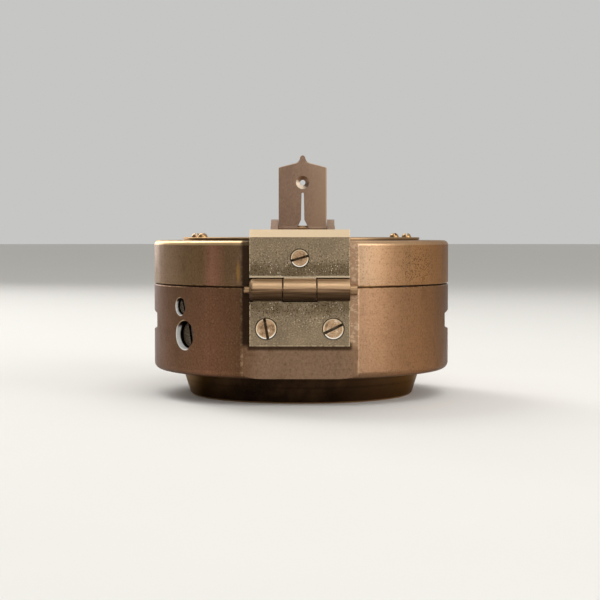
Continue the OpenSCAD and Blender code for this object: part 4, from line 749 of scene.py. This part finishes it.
# Bubbles of both levels, and the long level's two reading lines
vial_low, vial_high = span("level_vial")
round_low, round_high = span("round_level_glass")
LEVEL_R = 2.4
LEVEL_Y = (vial_low + vial_high)[1] / 2
LEVEL_Z = vial_low[2] + LEVEL_R
ROUND_Y = (round_low + round_high)[1] / 2
ROUND_TOP = round_high[2]
READING, READING_WIDTH = 3.0, 0.2
# half sizes of the bubbles, and how far they lie above the long level's axis and under the round glass's top
LONG_BUBBLE, LONG_RISE = (2.6, 0.85, 0.75), 1.5
ROUND_BUBBLE, ROUND_SINK = (1.5, 1.5, 0.5), 0.95
air = polished_glass("air_bubble", "#f3f6dc", 0.75)
long_bubble = bubble((0, LEVEL_Y, LEVEL_Z + LONG_RISE), LONG_BUBBLE)
put(mesh_piece("long_bubble", *long_bubble), "clinometer", air)
round_bubble = bubble((0, ROUND_Y, ROUND_TOP - ROUND_SINK), ROUND_BUBBLE)
put(mesh_piece("round_bubble", *round_bubble), "clinometer", air)
marks = joined(hoop((-READING - READING_WIDTH, LEVEL_Y, LEVEL_Z), LEVEL_R, FILL, READING_WIDTH),
               hoop((READING, LEVEL_Y, LEVEL_Z), LEVEL_R, FILL, READING_WIDTH))
put(mesh_piece("level_lines", *marks), "clinometer", wax)

# Floor: a wide disc of pale paper
FLOOR_R = 6000
FLOOR_SIDES = 96
floor_paint, floor_tree, floor_shader, floor_mm = blank("paper_pale_floor", Specular_IOR_Level=0.1)
fibre = grain(floor_tree, floor_mm, (60, 60, 60), 3)
skin(floor_tree, floor_shader, lay(floor_tree, "#e8e5e0", "#e9e6e1", fibre, 0.3, 0.7), fibre, 0.85, 0.95)
side = np.arange(FLOOR_SIDES)
turned = side * 2 * math.pi / FLOOR_SIDES
rim = np.stack([np.cos(turned), np.sin(turned), np.zeros(FLOOR_SIDES)], 1) * FLOOR_R
fan = np.stack([side, (side + 1) % FLOOR_SIDES, np.full(FLOOR_SIDES, FLOOR_SIDES)], 1)
floor = mesh_piece("floor", np.concatenate([rim, [[0, 0, 0]]]), fan)
floor.data.materials.append(floor_paint)

# Each lamp wears a grid that lets light out up to this angle from its axis, so that the floor stays below
# white. A gridded lamp is brighter ahead by GRID_GAIN for the same power.
GRID = math.radians(50)
GRID_GAIN = math.tan(GRID) / (math.tan(GRID) - GRID)
# height of the closed case's middle, where the lamps aim
AIM_Z = 25


def softbox(name, azimuth, elevation, distance, width, height, radiance):
    """A rectangular lamp aimed at the case's middle: its power is radiance times pi times its area, over the
    grid's gain, so that radiance is what a mirror would show. Azimuth is in degrees from -Y towards +X, and
    lengths are in millimetres."""
    a, e = math.radians(azimuth), math.radians(elevation)
    data = bpy.data.lights.new(name, "AREA")
    data.shape = "RECTANGLE"
    data.size, data.size_y = width * MM, height * MM
    data.spread = 2 * GRID
    data.energy = radiance * math.pi * width * height * MM * MM / GRID_GAIN
    lamp = bpy.data.objects.new(name, data)
    out = np.array([math.cos(e) * math.sin(a), -math.cos(e) * math.cos(a), math.sin(e)])
    lamp.location = out * distance * MM + np.array([0, 0, AIM_Z * MM])
    lamp.rotation_euler = (math.pi / 2 - e, 0, a)
    bpy.context.scene.collection.objects.link(lamp)


softbox("key_right", 54, 18, 900, 380, 620, 4.4)
softbox("front_fill", 14, 20, 1300, 900, 600, 1.85)
softbox("top_front", 16, 58, 1100, 700, 500, 2.9)
softbox("rim_left", -140, 45, 1000, 300, 600, 6.4)
softbox("edge_left", -150, 12, 1000, 260, 420, 6.0)
softbox("top_back", 180, 64, 1000, 900, 700, 1.1)

# Studio walls: pale behind and on the right, greyer in front on the left, so that the light comes from the
# right
FRONT_LEFT = (-0.8, -0.6, 0.0)
world = bpy.data.worlds.new("studio")
bpy.context.scene.world = world
world.use_nodes = True
room = world.node_tree
room.nodes.clear()
towards = add(room, "TexCoord").outputs["Generated"]
shade = add(room, "VectorMath", {0: towards, 1: FRONT_LEFT}, operation="DOT_PRODUCT").outputs["Value"]
walls = lay(room, "#c6c6c4", "#7c7c7c", shade, -0.1, 1.0)
add(room, "OutputWorld", {"Surface": add(room, "Background", {"Color": walls, "Strength": 1.0})})

# Camera, fitted to the photo's frame: focal length in its pixels, place in millimetres, turn to the side and
# tilt down in radians
FRAME_PX = 600
FOCAL_PX = 1494
SENSOR = 36.0
AWAY, ASIDE, UP = 388.6, -0.33, 41.0
TURN = math.radians(0.6)
TILT = 0.0439
camera = bpy.data.cameras.new("camera")
camera.sensor_width = SENSOR
camera.lens = FOCAL_PX / FRAME_PX * SENSOR
camera.clip_start = 0.01
camera.clip_end = 50.0
eye = bpy.data.objects.new("camera", camera)
eye.location = ((AWAY * math.sin(TURN) + ASIDE) * MM, -AWAY * math.cos(TURN) * MM, UP * MM)
eye.rotation_euler = (math.pi / 2 - TILT, 0, TURN)
bpy.context.scene.collection.objects.link(eye)
bpy.context.scene.camera = eye
bpy.context.scene.view_settings.view_transform = "Standard"
